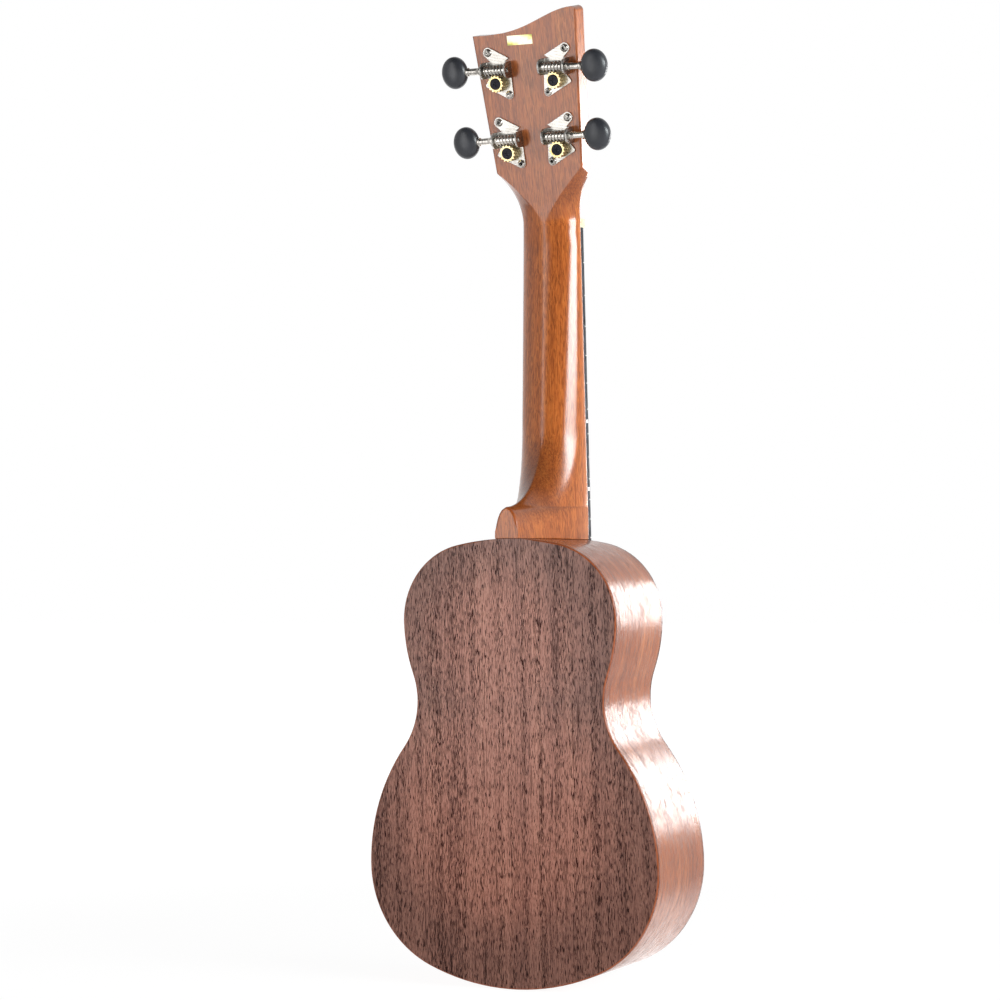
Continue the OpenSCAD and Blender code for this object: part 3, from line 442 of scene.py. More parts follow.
@dataclass(frozen=True)
class Wood(Finish):
    """Open-pored wood under a thin satin or gloss coat.

    A plate is darkened towards its bouts, circles by height and radius on its centre line, as painted shade
    shifted sideways so that one side is darker.
    The lean tilts the grain with the headstock; faces across the fibres are darkened, as end grain that
    soaks up more stain and as painted shade on the heel's sweep and the tilted headstock.
    """

    dark: Colour
    middle: Colour
    light: Colour
    pore: Colour
    edge_wear_and_lighting: Colour
    run: GrainRun = GrainRun.UP
    tone_places: Triple = (0.3, 0.5, 0.7)
    wave: float = 0.004
    bands: float = 110.0
    pore_width: float = 0.0011
    pore_length: float = 0.006
    pore_share: float = 0.3
    pore_depth: float = 0.8
    pore_rough: float = 0.2
    pore_matt: float = 0.5
    edge_mark: float = 0.6
    gloss: float = 0.4
    uneven: float = 0.1
    coat: float = 0.0
    coat_gloss: float = 0.1
    relief: float = 0.35
    bump_depth: float = 0.0003
    ripple: float = 0.2
    lean: float = 0.0
    shine: float = 0.5
    # Painted shade: a plate darkens towards the circles of its outline, shifted sideways so that one side
    # is darker.
    bouts: tuple[Pair, ...] = ()
    shade_side: float = 0.006
    rim_shade: float = 0.56
    shade_range: Pair = (-0.004, 0.042)
    # Darkening of faces across the fibres: end grain, and painted shade on the heel's sweep and the
    # headstock.
    end_grain_and_shade: float = 0.0
    soak_and_shade_range: Pair = (0.0, 0.5)

    def fibre(self, canvas: Canvas) -> Socket:
        """Turn the coordinate so that the fibres run along its third axis.

        Args:
            canvas: The material.

        Returns:
            The turned coordinate.
        """
        if self.run is GrainRun.ROUND:
            parts = canvas.split(canvas.put("UVMap", uv_map=ALONG_RIM).outputs["UV"])
            return canvas.join(X=parts["Y"], Z=parts["X"])
        parts = canvas.split(canvas.place)
        if self.run is GrainRun.ACROSS:
            return canvas.join(X=parts["Z"], Y=parts["Y"], Z=parts["X"])
        rise = canvas.math("MAXIMUM", parts["Z"], 0.0)
        depth = canvas.math("MULTIPLY_ADD", rise, -math.tan(self.lean), parts["Y"])
        return canvas.join(X=parts["X"], Y=depth, Z=parts["Z"])

    def dress(self, canvas: Canvas) -> None:
        """Lay streaks, pores, edge colour and coat; the edge colour is wear, with a painted highlight on
        the plates and painted shade on the heel.

        Args:
            canvas: The material.
        """
        knobs = {"Vector": self.fibre(canvas), "Wave": self.wave, "Bands": self.bands,
                 "Pore Width": self.pore_width, "Pore Length": self.pore_length,
                 "Pore Share": self.pore_share, "Ripple": self.ripple}
        figure = canvas.put("Group", knobs, node_tree=WOOD_FIGURE.tree()).outputs
        pores = figure["Pores"]
        colour = canvas.ramp(figure["Shade"], self.tone_places, (self.dark, self.middle, self.light))
        colour = canvas.mix(canvas.math("MULTIPLY", pores, self.pore_depth), colour, linear(self.pore))
        # Darker faces across the fibres: end grain that soaks up stain, and painted shade on the heel's
        # sweep and the headstock.
        if self.end_grain_and_shade:
            normal = canvas.split(canvas.put("TexCoord").outputs["Normal"])
            facing = canvas.math("ABSOLUTE", normal["Z"])
            soaked_and_shaded = canvas.span(facing, *self.soak_and_shade_range, 0.0, self.end_grain_and_shade)
            colour = canvas.mix(soaked_and_shaded, colour, linear(self.pore))
        # Painted shade, darker towards the plate's outline and on one side.
        if self.bouts:
            colour = canvas.mix(1.0, colour, self.painted_shade(canvas), "MULTIPLY")
        # Edge colour along rounded edges: wear, with a painted highlight along the plates' edges and
        # painted shade along the heel's.
        colour = canvas.mix(canvas.edge_wear_and_lighting(self.edge_mark), colour, linear(self.edge_wear_and_lighting))
        rough = canvas.math("MULTIPLY_ADD", canvas.dull(), self.uneven, self.gloss - self.uneven / 2)
        rough = canvas.math("MULTIPLY_ADD", pores, self.pore_rough, rough)
        canvas.surface(colour, rough, canvas.bump(figure["Height"], self.relief, self.bump_depth))
        if self.coat:
            bare = canvas.math("MULTIPLY", pores, -self.pore_matt * self.coat)
            canvas.feed(canvas.shader.inputs["Coat Weight"], canvas.math("ADD", bare, self.coat))
            canvas.shader.inputs["Coat Roughness"].default_value = self.coat_gloss
        canvas.shader.inputs["Specular IOR Level"].default_value = 0.0 if self.coat else self.shine

    def painted_shade(self, canvas: Canvas) -> Socket:
        """Paint shade on a plate, darker towards its outline, given as circles on its centre line.

        Args:
            canvas: The material.

        Returns:
            The share of light that is left.
        """
        flat = canvas.vector("MULTIPLY", canvas.place, (1.0, 0.0, 1.0))
        inside = -1.0
        for height, radius in self.bouts:
            reach = canvas.measure("DISTANCE", flat, (self.shade_side, 0.0, height))
            inside = canvas.math("MAXIMUM", canvas.math("SUBTRACT", radius, reach), inside)
        return canvas.span(inside, *self.shade_range, self.rim_shade, 1.0)


@dataclass(frozen=True)
class Metal(Finish):
    """Plated or turned metal with tool lines along one axis."""

    colour: Colour
    shaded: Colour
    bright: Colour
    tone_places: Pair = (0.28, 0.62)
    lines: Triple = (600.0, 600.0, 600.0)
    line_rough: float = 0.16
    brush: float = 0.0
    brush_share: float = 0.6
    brush_bend: float = 1.2
    tarnish: float = 0.35
    gloss: float = 0.2
    polish: float = 0.1
    soil: float = 0.08
    edge_mark: float = 0.9
    relief: float = 0.15
    bump_depth: float = 0.00006

    def dress(self, canvas: Canvas) -> None:
        """Lay tool lines, tarnish and bright edges.

        Args:
            canvas: The material.
        """
        drawn = canvas.noise(canvas.place, self.lines, 3.0)
        if self.brush:
            wave = {"Vector": canvas.place, "Scale": math.tau / WAVE_RATE / self.brush,
                    "Distortion": self.brush_bend, "Detail": 1.0}
            ruled = canvas.put("TexWave", wave, bands_direction="Z").outputs["Fac"]
            drawn = canvas.math("MULTIPLY", drawn, 1.0 - self.brush_share)
            drawn = canvas.math("MULTIPLY_ADD", ruled, self.brush_share, drawn)
        dull = canvas.dull()
        shade = canvas.math("MULTIPLY", drawn, 1.0 - self.tarnish)
        shade = canvas.math("MULTIPLY_ADD", dull, self.tarnish, shade)
        colour = canvas.ramp(shade, self.tone_places, (self.shaded, self.colour))
        colour = canvas.mix(canvas.edge_wear_and_lighting(self.edge_mark), colour, linear(self.bright))
        rough = canvas.math("MULTIPLY_ADD", dull, self.soil, self.gloss - self.polish)
        rough = canvas.math("MULTIPLY_ADD", drawn, self.line_rough, rough)
        canvas.surface(colour, rough, canvas.bump(drawn, self.relief, self.bump_depth))
        canvas.shader.inputs["Metallic"].default_value = 1.0


@dataclass(frozen=True)
class Moulded(Finish):
    """Cast plastic, polished bone or nylon with a faint cloud and fine scuffs."""

    colour: Colour
    cloud: Colour
    scuff: Colour
    tone_places: Pair = (0.35, 0.65)
    clouds: Triple = (160.0, 160.0, 160.0)
    grit: Triple = (2600.0, 2600.0, 2600.0)
    gloss: float = 0.3
    uneven: float = 0.12
    edge_mark: float = 0.7
    relief: float = 0.08
    bump_depth: float = 0.00005
    milk: float = 0.0
    milk_depth: float = 0.002

    def dress(self, canvas: Canvas) -> None:
        """Lay cloud, scuffs and sheen.

        Args:
            canvas: The material.
        """
        cloud = canvas.noise(canvas.place, self.clouds, 3.0)
        grit = canvas.noise(canvas.place, self.grit)
        colour = canvas.ramp(cloud, self.tone_places, (self.colour, self.cloud))
        colour = canvas.mix(canvas.edge_wear_and_lighting(self.edge_mark), colour, linear(self.scuff))
        rough = canvas.math("MULTIPLY_ADD", canvas.dull(), self.uneven, self.gloss - self.uneven / 2)
        canvas.surface(colour, rough, canvas.bump(grit, self.relief, self.bump_depth))
        canvas.shader.inputs["Subsurface Weight"].default_value = self.milk
        canvas.shader.inputs["Subsurface Scale"].default_value = self.milk_depth


@dataclass(frozen=True)
class Inlay(Finish):
    """Thin rings of pale and dark wood round the sound hole."""

    pale: Colour
    dark: Colour
    warm: Colour
    inner: float = 0.028
    outer: float = 0.033
    ring_places: tuple[float, ...] = (0.0, 0.14, 0.22, 0.34, 0.66, 0.78, 0.86)
    grain: Triple = (500.0, 500.0, 500.0)
    fade: float = 0.25
    gloss: float = 0.25
    grain_rough: float = 0.2
    relief: float = 0.1
    bump_depth: float = 0.0001

    def dress(self, canvas: Canvas) -> None:
        """Lay the rings by distance from the hole's centre.

        Args:
            canvas: The material.
        """
        flat = canvas.vector("MULTIPLY", canvas.place, (1.0, 0.0, 1.0))
        reach = canvas.measure("DISTANCE", flat, (HOLE_CENTRE[0], 0.0, HOLE_CENTRE[1]))
        limits = {"Value": reach, "From Min": self.inner, "From Max": self.outer}
        rings = canvas.ramp(canvas.put("MapRange", limits).outputs[0], self.ring_places,
                            (self.dark, self.pale, self.dark, self.warm, self.dark, self.pale, self.dark))
        rings.node.color_ramp.interpolation = "CONSTANT"
        grain = canvas.noise(canvas.place, self.grain, 3.0)
        colour = canvas.mix(canvas.math("MULTIPLY", grain, self.fade), rings, linear(self.warm))
        rough = canvas.math("MULTIPLY_ADD", grain, self.grain_rough, self.gloss)
        canvas.surface(colour, rough, canvas.bump(grain, self.relief, self.bump_depth))


@dataclass(frozen=True)
class Foil(Finish):
    """Blank foil, pale in the middle and gold to green towards two opposite corners."""

    pale: Colour
    gold: Colour
    green: Colour
    tone_places: Triple = (0.28, 0.62, 0.86)
    centre: Triple = (0.00295, 0.0331, 0.101)
    slant: Triple = (-62.0, 0.0, 150.0)
    shimmer: Triple = (330.0, 330.0, 520.0)
    shimmer_share: float = 0.9
    creases: Triple = (900.0, 900.0, 900.0)
    crease_rough: float = 0.2
    gloss: float = 0.2
    relief: float = 0.25
    bump_depth: float = 0.0001
    metallic: float = 0.35

    def dress(self, canvas: Canvas) -> None:
        """Lay the shimmer, the creases and the bright glints.

        Args:
            canvas: The material.
        """
        centred = canvas.vector("SUBTRACT", canvas.place, self.centre)
        corner = canvas.math("ABSOLUTE", canvas.measure("DOT_PRODUCT", centred, self.slant))
        corner = canvas.math("SUBTRACT", corner, self.shimmer_share / 2)
        shimmer = canvas.noise(canvas.place, self.shimmer)
        reach = canvas.math("MULTIPLY_ADD", shimmer, self.shimmer_share, corner)
        colour = canvas.ramp(reach, self.tone_places, (self.pale, self.gold, self.green))
        creases = canvas.noise(canvas.place, self.creases, 3.0)
        rough = canvas.math("MULTIPLY_ADD", creases, self.crease_rough, self.gloss)
        canvas.surface(colour, rough, canvas.bump(creases, self.relief, self.bump_depth))
        canvas.shader.inputs["Metallic"].default_value = self.metallic


# The plates' edge colour is wear with a painted highlight; their bouts set the painted shade towards the
# outline.
PLATE_WOOD = Wood("mahogany_plate", (134, 79, 61), (168, 106, 85), (190, 129, 105), (58, 24, 16),
                  (164, 82, 36), wave=0.003, bands=95.0, pore_width=0.00024, pore_length=0.004,
                  pore_share=0.42, pore_depth=1.0, pore_matt=0.8, coat=1.0, coat_gloss=0.26, edge_mark=0.7,
                  bouts=((-0.232, 0.0615), (-0.316, 0.083)))
RIM_WOOD = Wood("mahogany_rim", (96, 44, 22), (152, 82, 44), (190, 120, 74), (72, 34, 20), (206, 116, 62),
                run=GrainRun.ROUND, wave=0.002, bands=130.0, pore_width=0.00045, pore_length=0.006,
                pore_share=0.36, pore_depth=0.5, gloss=0.2, relief=0.15, ripple=1.0)
# The neck's edge colour is painted shade along the heel's rounded face edge; its end-grain darkening also
# paints shade on the heel's sweep and the headstock.
NECK_WOOD = Wood("mahogany_neck", (138, 68, 30), (177, 96, 42), (204, 123, 58), (84, 40, 20), (150, 72, 30),
                 wave=0.003, bands=140.0, pore_width=0.0004, pore_length=0.0065, pore_share=0.38,
                 pore_depth=0.5, pore_matt=0.05, coat=1.0, coat_gloss=0.2, lean=HEAD_TILT, end_grain_and_shade=0.5)
INNER_WOOD = Wood("pale_lining", (168, 130, 86), (198, 162, 114), (216, 184, 138), (150, 112, 72),
                  (216, 184, 138), bands=200.0, pore_share=0.15, pore_depth=0.3, gloss=0.6)
BRACE_WOOD = Wood("pale_brace", (186, 150, 102), (208, 176, 128), (222, 194, 148), (166, 128, 84),
                  (222, 194, 148), run=GrainRun.ACROSS, bands=240.0, pore_share=0.12, pore_depth=0.25,
                  gloss=0.6)
BLACK_WOOD = Wood("stained_fretwood", (19, 24, 31), (28, 34, 44), (40, 47, 58), (12, 13, 16), (86, 98, 116),
                  bands=180.0, pore_width=0.0008, pore_length=0.005, pore_share=0.26, gloss=0.45,
                  shine=0.06, edge_mark=0.0)
BRUSHED_NICKEL = Metal("brushed_nickel", (198, 195, 190), (128, 124, 118), (226, 223, 218),
                       lines=(30.0, 700.0, 2300.0), gloss=0.26, relief=0.3, brush=0.0008)
TURNED_NICKEL = Metal("turned_nickel", (204, 199, 192), (140, 136, 130), (236, 233, 228),
                      lines=(1800.0, 260.0, 260.0), gloss=0.17, relief=0.15)
FRET_METAL = Metal("fret_metal", (206, 204, 198), (150, 148, 142), (236, 234, 230),
                   lines=(60.0, 900.0, 1800.0), gloss=0.22)
GEAR_BRASS = Metal("gear_brass", (238, 218, 166), (184, 152, 92), (252, 242, 208),
                   lines=(900.0, 120.0, 900.0), gloss=0.26)
OXIDE_STEEL = Metal("oxide_steel", (44, 44, 48), (22, 22, 24), (104, 104, 110), gloss=0.38)
BUTTON_BLACK = Moulded("button_black", (37, 39, 44), (45, 47, 53), (92, 94, 102), gloss=0.36)
BONE = Moulded("polished_bone", (208, 196, 160), (192, 178, 138), (232, 224, 200), gloss=0.5, milk=0.15)
PEARL = Moulded("pearl_dot", (232, 230, 222), (206, 208, 206), (246, 246, 242), gloss=0.2, milk=0.1)
NYLON = Moulded("clear_nylon", (228, 226, 218), (214, 212, 204), (244, 243, 238), gloss=0.24, milk=0.2)
ROSETTE = Inlay("rosette_inlay", (226, 206, 164), (34, 22, 18), (150, 92, 54))
GOLD_FOIL = Foil("gold_foil", (246, 244, 206), (214, 204, 112), (142, 148, 62))


def merged_copy(node: str) -> Shape:
    """Copy a CAD node as one merged mesh with its flat faces joined.

    Args:
        node: The node's name.

    Returns:
        The copy, with a layer for edge marks.
    """
    shape = bmesh.new()
    shape.from_mesh(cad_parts[node].data)
    bmesh.ops.remove_doubles(shape, verts=shape.verts, dist=MERGE)
    bmesh.ops.dissolve_limit(shape, angle_limit=FLAT_ANGLE, verts=shape.verts, edges=shape.edges)
    shape.loops.layers.float.new(EDGE_LAYER)
    return shape


def soften(shape: Shape, width: float, segments: int = 2, choose: Callable[[Edge], bool] | None = None,
           edge_mark: float = 1.0) -> None:
    """Round the sharp edges of a shape and mark the rounding for the edge colour: wear, and on some pieces
    painted edge light and shade.

    Args:
        shape: The mesh, with its layer of edge marks.
        width: Width of the rounding in metres.
        segments: Steps across it.
        choose: Which sharp edges are rounded; all of them if left out.
        edge_mark: How strongly the rounding takes the edge colour of wear and painted edge light.
    """
    sharp = [edge for edge in shape.edges if edge.calc_face_angle(0.0) > SHARP_ANGLE]
    picked = [edge for edge in sharp if choose is None or choose(edge)]
    made = bmesh.ops.bevel(shape, geom=picked, offset=width, offset_type="OFFSET", affect="EDGES",
                           segments=segments, profile=0.5, material=-1, clamp_overlap=False)
    rounded = set(made["faces"])
    layer = shape.loops.layers.float[EDGE_LAYER]
    for face in rounded:
        for loop in face.loops:
            loop[layer] = edge_mark if rounded.issuperset(loop.vert.link_faces) else 0.0


def add_object(name: str, data: bpy.types.ID) -> bpy.types.Object:
    """Put a new object into the scene.

    Args:
        name: Its name.
        data: Its mesh, curve, lamp or camera.

    Returns:
        The new object.
    """
    made = bpy.data.objects.new(name, data)
    bpy.context.scene.collection.objects.link(made)
    return made


def add_piece(shape: Shape, name: str, finish: Finish, body: str,
              stands_for: str | None = None, sharp_deg: float = 35.0) -> bpy.types.Object:
    """Turn a mesh into a dressed piece that rides on a body.

    Args:
        shape: The mesh, in place; it is used up.
        name: The piece's name.
        finish: What it is made of.
        body: The body that it rides on.
        stands_for: The CAD node that it replaces, if any.
        sharp_deg: Edges that turn more than this stay sharp.

    Returns:
        The new object.
    """
    for face in shape.faces:
        face.smooth = True
    for edge in shape.edges:
        edge.smooth = edge.calc_face_angle(0.0) < math.radians(sharp_deg)
    data = bpy.data.meshes.new(name)
    shape.to_mesh(data)
    shape.free()
    data.materials.append(finish.material())
    piece = add_object(name, data)
    weigh = piece.modifiers.new("even_shading", "WEIGHTED_NORMAL")
    weigh.keep_sharp = True
    register(piece, body, stands_for)
    return piece


def register(piece: bpy.types.Object, body: str, stands_for: str | None) -> None:
    """Tie a piece to its body and the CAD node that it replaces.

    Args:
        piece: The object.
        body: The body that it rides on.
        stands_for: The CAD node that it replaces, if any.
    """
    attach(piece, body)
    if stands_for:
        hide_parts(stands_for)
    log.info("piece %s rides on %s", piece.name, body)


def dress_node(node: str, finish: Finish) -> None:
    """Give a CAD node that stays in view its finish.

    Args:
        node: The node's name.
        finish: What it is made of.
    """
    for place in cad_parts[node].material_slots:
        place.material = finish.material()
    log.info("node %s wears %s", node, finish.name)


def softened_node(node: str, finish: Finish, width: float, segments: int = 2,
                  body: str = ROOT_BODY) -> None:
    """Replace a CAD node by a copy with rounded edges.

    Args:
        node: The node's name.
        finish: What it is made of.
        width: Width of the rounding in metres.
        segments: Steps across it.
        body: The body that it rides on.
    """
    shape = merged_copy(node)
    soften(shape, width, segments)
    add_piece(shape, node + "_finished", finish, body, node)


@dataclass
class Plate:
    """Back or soundboard, rounded along its outline."""

    node: str
    level: float
    width: float
    steps: int = 4
    slack: float = 1e-5
    hole_margin: float = 0.04
    joint: Pair = (0.0105, -0.18)

    def build(self) -> None:
        """Round the outer edge and dress the plate."""
        shape = merged_copy(self.node)
        soften(shape, self.width, self.steps, self.on_outline)
        add_piece(shape, self.node + "_rounded", PLATE_WOOD, ROOT_BODY, self.node)

    def on_outline(self, edge: Edge) -> bool:
        """Tell whether an edge bounds the outer face, clear of sound hole and heel.

        Args:
            edge: The edge.

        Returns:
            Whether it does.
        """
        points = [vert.co for vert in edge.verts]
        outer = all(abs(point.y - self.level) < self.slack for point in points)
        clear = all((point.xz - Vector(HOLE_CENTRE)).length > self.hole_margin for point in points)
        beside = all(abs(point.x) > self.joint[0] or point.z < self.joint[1] for point in points)
        return outer and clear and beside


@dataclass
class Body:
    """Back, soundboard, bent rim and what holds them together inside."""

    depth: float = 0.064
    waist_z: float = -0.2855
    back_round: float = 0.0009
    top_round: float = 0.0006
    rim_length: float = 0.36

    def build(self) -> None:
        """Make and dress every piece of the body."""
        Plate("back_plate", self.depth, self.back_round).build()
        Plate("soundboard", 0.0, self.top_round).build()
        for side in ("side_bass", "side_treble"):
            self.rim(side)
        for node in ("top_lining", "back_lining", "neck_block", "tail_block", "neck_dowels"):
            dress_node(node, INNER_WOOD)
        for node in ("top_brace_upper", "top_brace_lower", "back_brace_upper", "back_brace_lower",
                     "bridge_patch"):
            dress_node(node, BRACE_WOOD)
        dress_node("rosette", ROSETTE)

    def rim(self, node: str) -> None:
        """Lay out a bent side along its length, so that its grain follows the bend.

        Args:
            node: The side's CAD node.
        """
        shape = merged_copy(node)
        turns = [self.turn(vert.co) for vert in shape.verts]
        first, span = min(turns), max(turns) - min(turns)
        layer = shape.loops.layers.uv.new(ALONG_RIM)
        for face in shape.faces:
            for loop in face.loops:
                share = (self.turn(loop.vert.co) - first) / span
                loop[layer].uv = (share * self.rim_length, loop.vert.co.y)
        add_piece(shape, node + "_bent", RIM_WOOD, ROOT_BODY, node)

    def turn(self, point: Vector) -> float:
        """Angle of a point round the waist, from the neck block to the tail."""
        return math.atan2(abs(point.x), point.z - self.waist_z)


@dataclass
class Neck:
    """Neck with heel and headstock, fretboard, frets, nut, dots and the blank foil."""

    tilt: float = HEAD_TILT
    nut_t: float = 0.005
    nut_round: float = 0.0003
    head_t: float = 0.0105
    heel_y: float = 0.0639
    heel_round: float = 0.0012
    heel_end: float = -0.171
    joint_z: float = -0.1724
    joint_round: float = 0.0005
    sharp_deg: float = 40.0
    fret_end_share: float = 0.957
    fret_end_facing: float = 0.9
    crown_round: float = 0.00015
    board_face: float = -0.00399
    board_round: float = 0.0004
    board_run: float = 0.003
    foil_centre: Pair = (0.00295, 0.10097)
    foil_size: Pair = (0.0151, 0.0052)
    foil_grid: tuple[int, int] = (20, 8)
    foil_turn: float = math.radians(-0.9)
    foil_t: float = 0.00012
    foil_lift: float = 0.00003
    foil_ripple: float = 0.00002
    foil_waves: Pair = (1900.0, 2300.0)

    def build(self) -> None:
        """Make and dress every piece of the neck."""
        shape = merged_copy("neck")
        soften(shape, self.joint_round, 2, self.at_joint, 0.0)
        # The heel face's rounding takes the neck's edge colour, painted shade.
        soften(shape, self.heel_round, 3, self.on_heel_face)
        add_piece(shape, "neck_shaped", NECK_WOOD, ROOT_BODY, "neck", self.sharp_deg)
        shape = merged_copy("fretboard")
        soften(shape, self.board_round, 2, self.along_board)
        add_piece(shape, "fretboard_finished", BLACK_WOOD, ROOT_BODY, "fretboard")
        softened_node("nut", BONE, self.nut_round)
        self.frets()
        dress_node("face_dots", PEARL)
        dress_node("side_dots", PEARL)
        self.foil()

    def at_joint(self, edge: Edge) -> bool:
        """Tell whether an edge of the heel lies against the body."""
        return all(vert.co.z < self.joint_z for vert in edge.verts)

    def on_heel_face(self, edge: Edge) -> bool:
        """Tell whether an edge bounds the flat face of the heel, away from the body."""
        face = all(vert.co.y > self.heel_y for vert in edge.verts)
        return face and any(vert.co.z > self.heel_end for vert in edge.verts)

    def along_board(self, edge: Edge) -> bool:
        """Tell whether an edge runs along a side of the fretboard, from slot to slot."""
        first, last = (vert.co for vert in edge.verts)
        return abs(first.z - last.z) > self.board_run

    def frets(self) -> None:
        """Dress the frets, their crowns filed back at both ends and their slots filled with dark wood."""
        shape = merged_copy("frets")
        crowns = [vert for vert in shape.verts if vert.co.y < self.board_face]
        bmesh.ops.scale(shape, vec=(self.fret_end_share, 1.0, 1.0), verts=crowns)
        for face in shape.faces:
            sunk = face.calc_center_median().y > self.board_face
            if sunk and abs(face.normal.x) > self.fret_end_facing:
                face.material_index = 1
        soften(shape, self.crown_round, 2, self.on_crown)
        piece = add_piece(shape, "frets_finished", FRET_METAL, ROOT_BODY, "frets")
        piece.data.materials.append(BLACK_WOOD.material())

    def on_crown(self, edge: Edge) -> bool:
        """Tell whether an edge stands proud of the fretboard."""
        return all(vert.co.y < self.board_face for vert in edge.verts)

    def head_frame(self) -> Matrix:
        """Frame of the headstock: X across, Y out of its back, Z up its face."""
        return Matrix.Translation((0.0, 0.0, self.nut_t)) @ Matrix.Rotation(-self.tilt, 4, "X")

    def foil(self) -> None:
        """Lay a blank, slightly lifted foil on the back of the headstock."""
        shape = bmesh.new()
        across, up = self.foil_grid
        bmesh.ops.create_grid(shape, x_segments=across, y_segments=up, size=0.5)
        bmesh.ops.scale(shape, vec=(*self.foil_size, 1.0), verts=shape.verts)
        wave_x, wave_y = self.foil_waves
        for vert in shape.verts:
            vert.co.z += self.foil_ripple * math.sin(vert.co.x * wave_x) * math.sin(vert.co.y * wave_y)
        made = bmesh.ops.extrude_face_region(shape, geom=shape.faces[:])
        top = [item for item in made["geom"] if isinstance(item, bmesh.types.BMVert)]
        bmesh.ops.translate(shape, vec=(0.0, 0.0, self.foil_t), verts=top)
        bmesh.ops.recalc_face_normals(shape, faces=shape.faces)
        shape.loops.layers.float.new(EDGE_LAYER)
        x, up_face = self.foil_centre
        stand = Matrix.Rotation(math.radians(-90), 4, "X") @ Matrix.Rotation(self.foil_turn, 4, "Z")
        lift = Matrix.Translation((x, self.head_t + self.foil_lift, up_face))
        bmesh.ops.transform(shape, matrix=self.head_frame() @ lift @ stand, verts=shape.verts)
        add_piece(shape, "blank_foil", GOLD_FOIL, ROOT_BODY)


@dataclass
class BridgeEnd:
    """Bridge with its saddle."""

    bridge_round: float = 0.0008
    bridge_steps: int = 3
    saddle_round: float = 0.0002

    def build(self) -> None:
        """Make and dress bridge and saddle."""
        softened_node("bridge", BLACK_WOOD, self.bridge_round, self.bridge_steps)
        softened_node("saddle", BONE, self.saddle_round)


@dataclass
class Tuner:
    """One open worm-and-gear tuner; x runs across the headstock, v up its back and n out of it."""

    name: str
    side: int
    x: float
    v: float
    turn_deg: float
    neck: Neck
    plate_round: float = 0.0002
    worm_round: float = 0.00008
    gear_round: float = 0.00012
    screw_round: float = 0.0001
    post_round: float = 0.00015
    shaft_end: float = 0.0176
    worm_n: float = 0.0052
    worm_v: float = 0.00205
    gear_v: float = -0.0052
    button_l: float = 0.0152
    button_h: float = 0.0178
    button_t: float = 0.0086
    button_power: float = 2.5
    button_sink: float = 0.0006
    button_grid: tuple[int, int] = (64, 40)

    def build(self) -> None:
        """Make and dress the pieces of this tuner."""
        knob, winder = "knob_" + self.name, "winder_" + self.name
        pieces = (("tuner_plate_", BRUSHED_NICKEL, "nickel", self.plate_round, ROOT_BODY),
                  ("worm_", TURNED_NICKEL, "nickel", self.worm_round, knob),
                  ("gear_", GEAR_BRASS, "brass", self.gear_round, winder),
                  ("gear_screw_", OXIDE_STEEL, "dark_steel", self.screw_round, winder),
                  ("post_", TURNED_NICKEL, "nickel", self.post_round, winder),
                  ("bushing_", TURNED_NICKEL, "nickel", self.post_round, ROOT_BODY))
        for kind, finish, slot, width, body in pieces:
            softened_node(kind + self.name, finish, width, body=body)
        self.button(knob)

    def frame(self) -> Matrix:
        """Find the tuner's own frame.

        Returns:
            The frame: X outward, Y out of the headstock's back, Z up.
        """
        spot = Matrix.Translation((self.side * self.x, self.neck.head_t, self.v))
        turn = Matrix.Rotation(-math.radians(self.turn_deg), 4, "Y")
        return self.neck.head_frame() @ spot @ Matrix.Diagonal((self.side, 1.0, 1.0, 1.0)) @ turn

    def post(self) -> Vector:
        """Find the axis of the post.

        Returns:
            Its place on the headstock, across and up.
        """
        turn = math.radians(self.turn_deg)
        across = self.side * (self.x - self.gear_v * math.sin(turn))
        return Vector((across, self.v + self.gear_v * math.cos(turn)))

    def button(self, knob: str) -> None:
        """Make the oval button, flatter on its two broad faces.

        Args:
            knob: The body that it rides on.
        """
        shape = bmesh.new()
        around, along = self.button_grid
        bmesh.ops.create_uvsphere(shape, u_segments=around, v_segments=along, radius=1.0,
                                  matrix=Matrix.Rotation(math.radians(90), 4, "X"))
        power = self.button_power
        for vert in shape.verts:
            flat = min(abs(vert.co.y), 1.0)
            wide = math.hypot(vert.co.x, vert.co.z)
            vert.co *= (flat ** power + wide ** power) ** (-1 / power)
        half = Vector((self.button_l, self.button_t, self.button_h)) / 2
        bmesh.ops.scale(shape, vec=half, verts=shape.verts)
        shape.loops.layers.float.new(EDGE_LAYER)
        out = self.shaft_end + half.x - self.button_sink
        place = Matrix.Translation((out, self.worm_n, self.worm_v))
        bmesh.ops.transform(shape, matrix=self.frame() @ place, verts=shape.verts)
        bmesh.ops.recalc_face_normals(shape, faces=shape.faces)
        name = "button_" + self.name
        add_piece(shape, name + "_moulded", BUTTON_BLACK, knob, name)


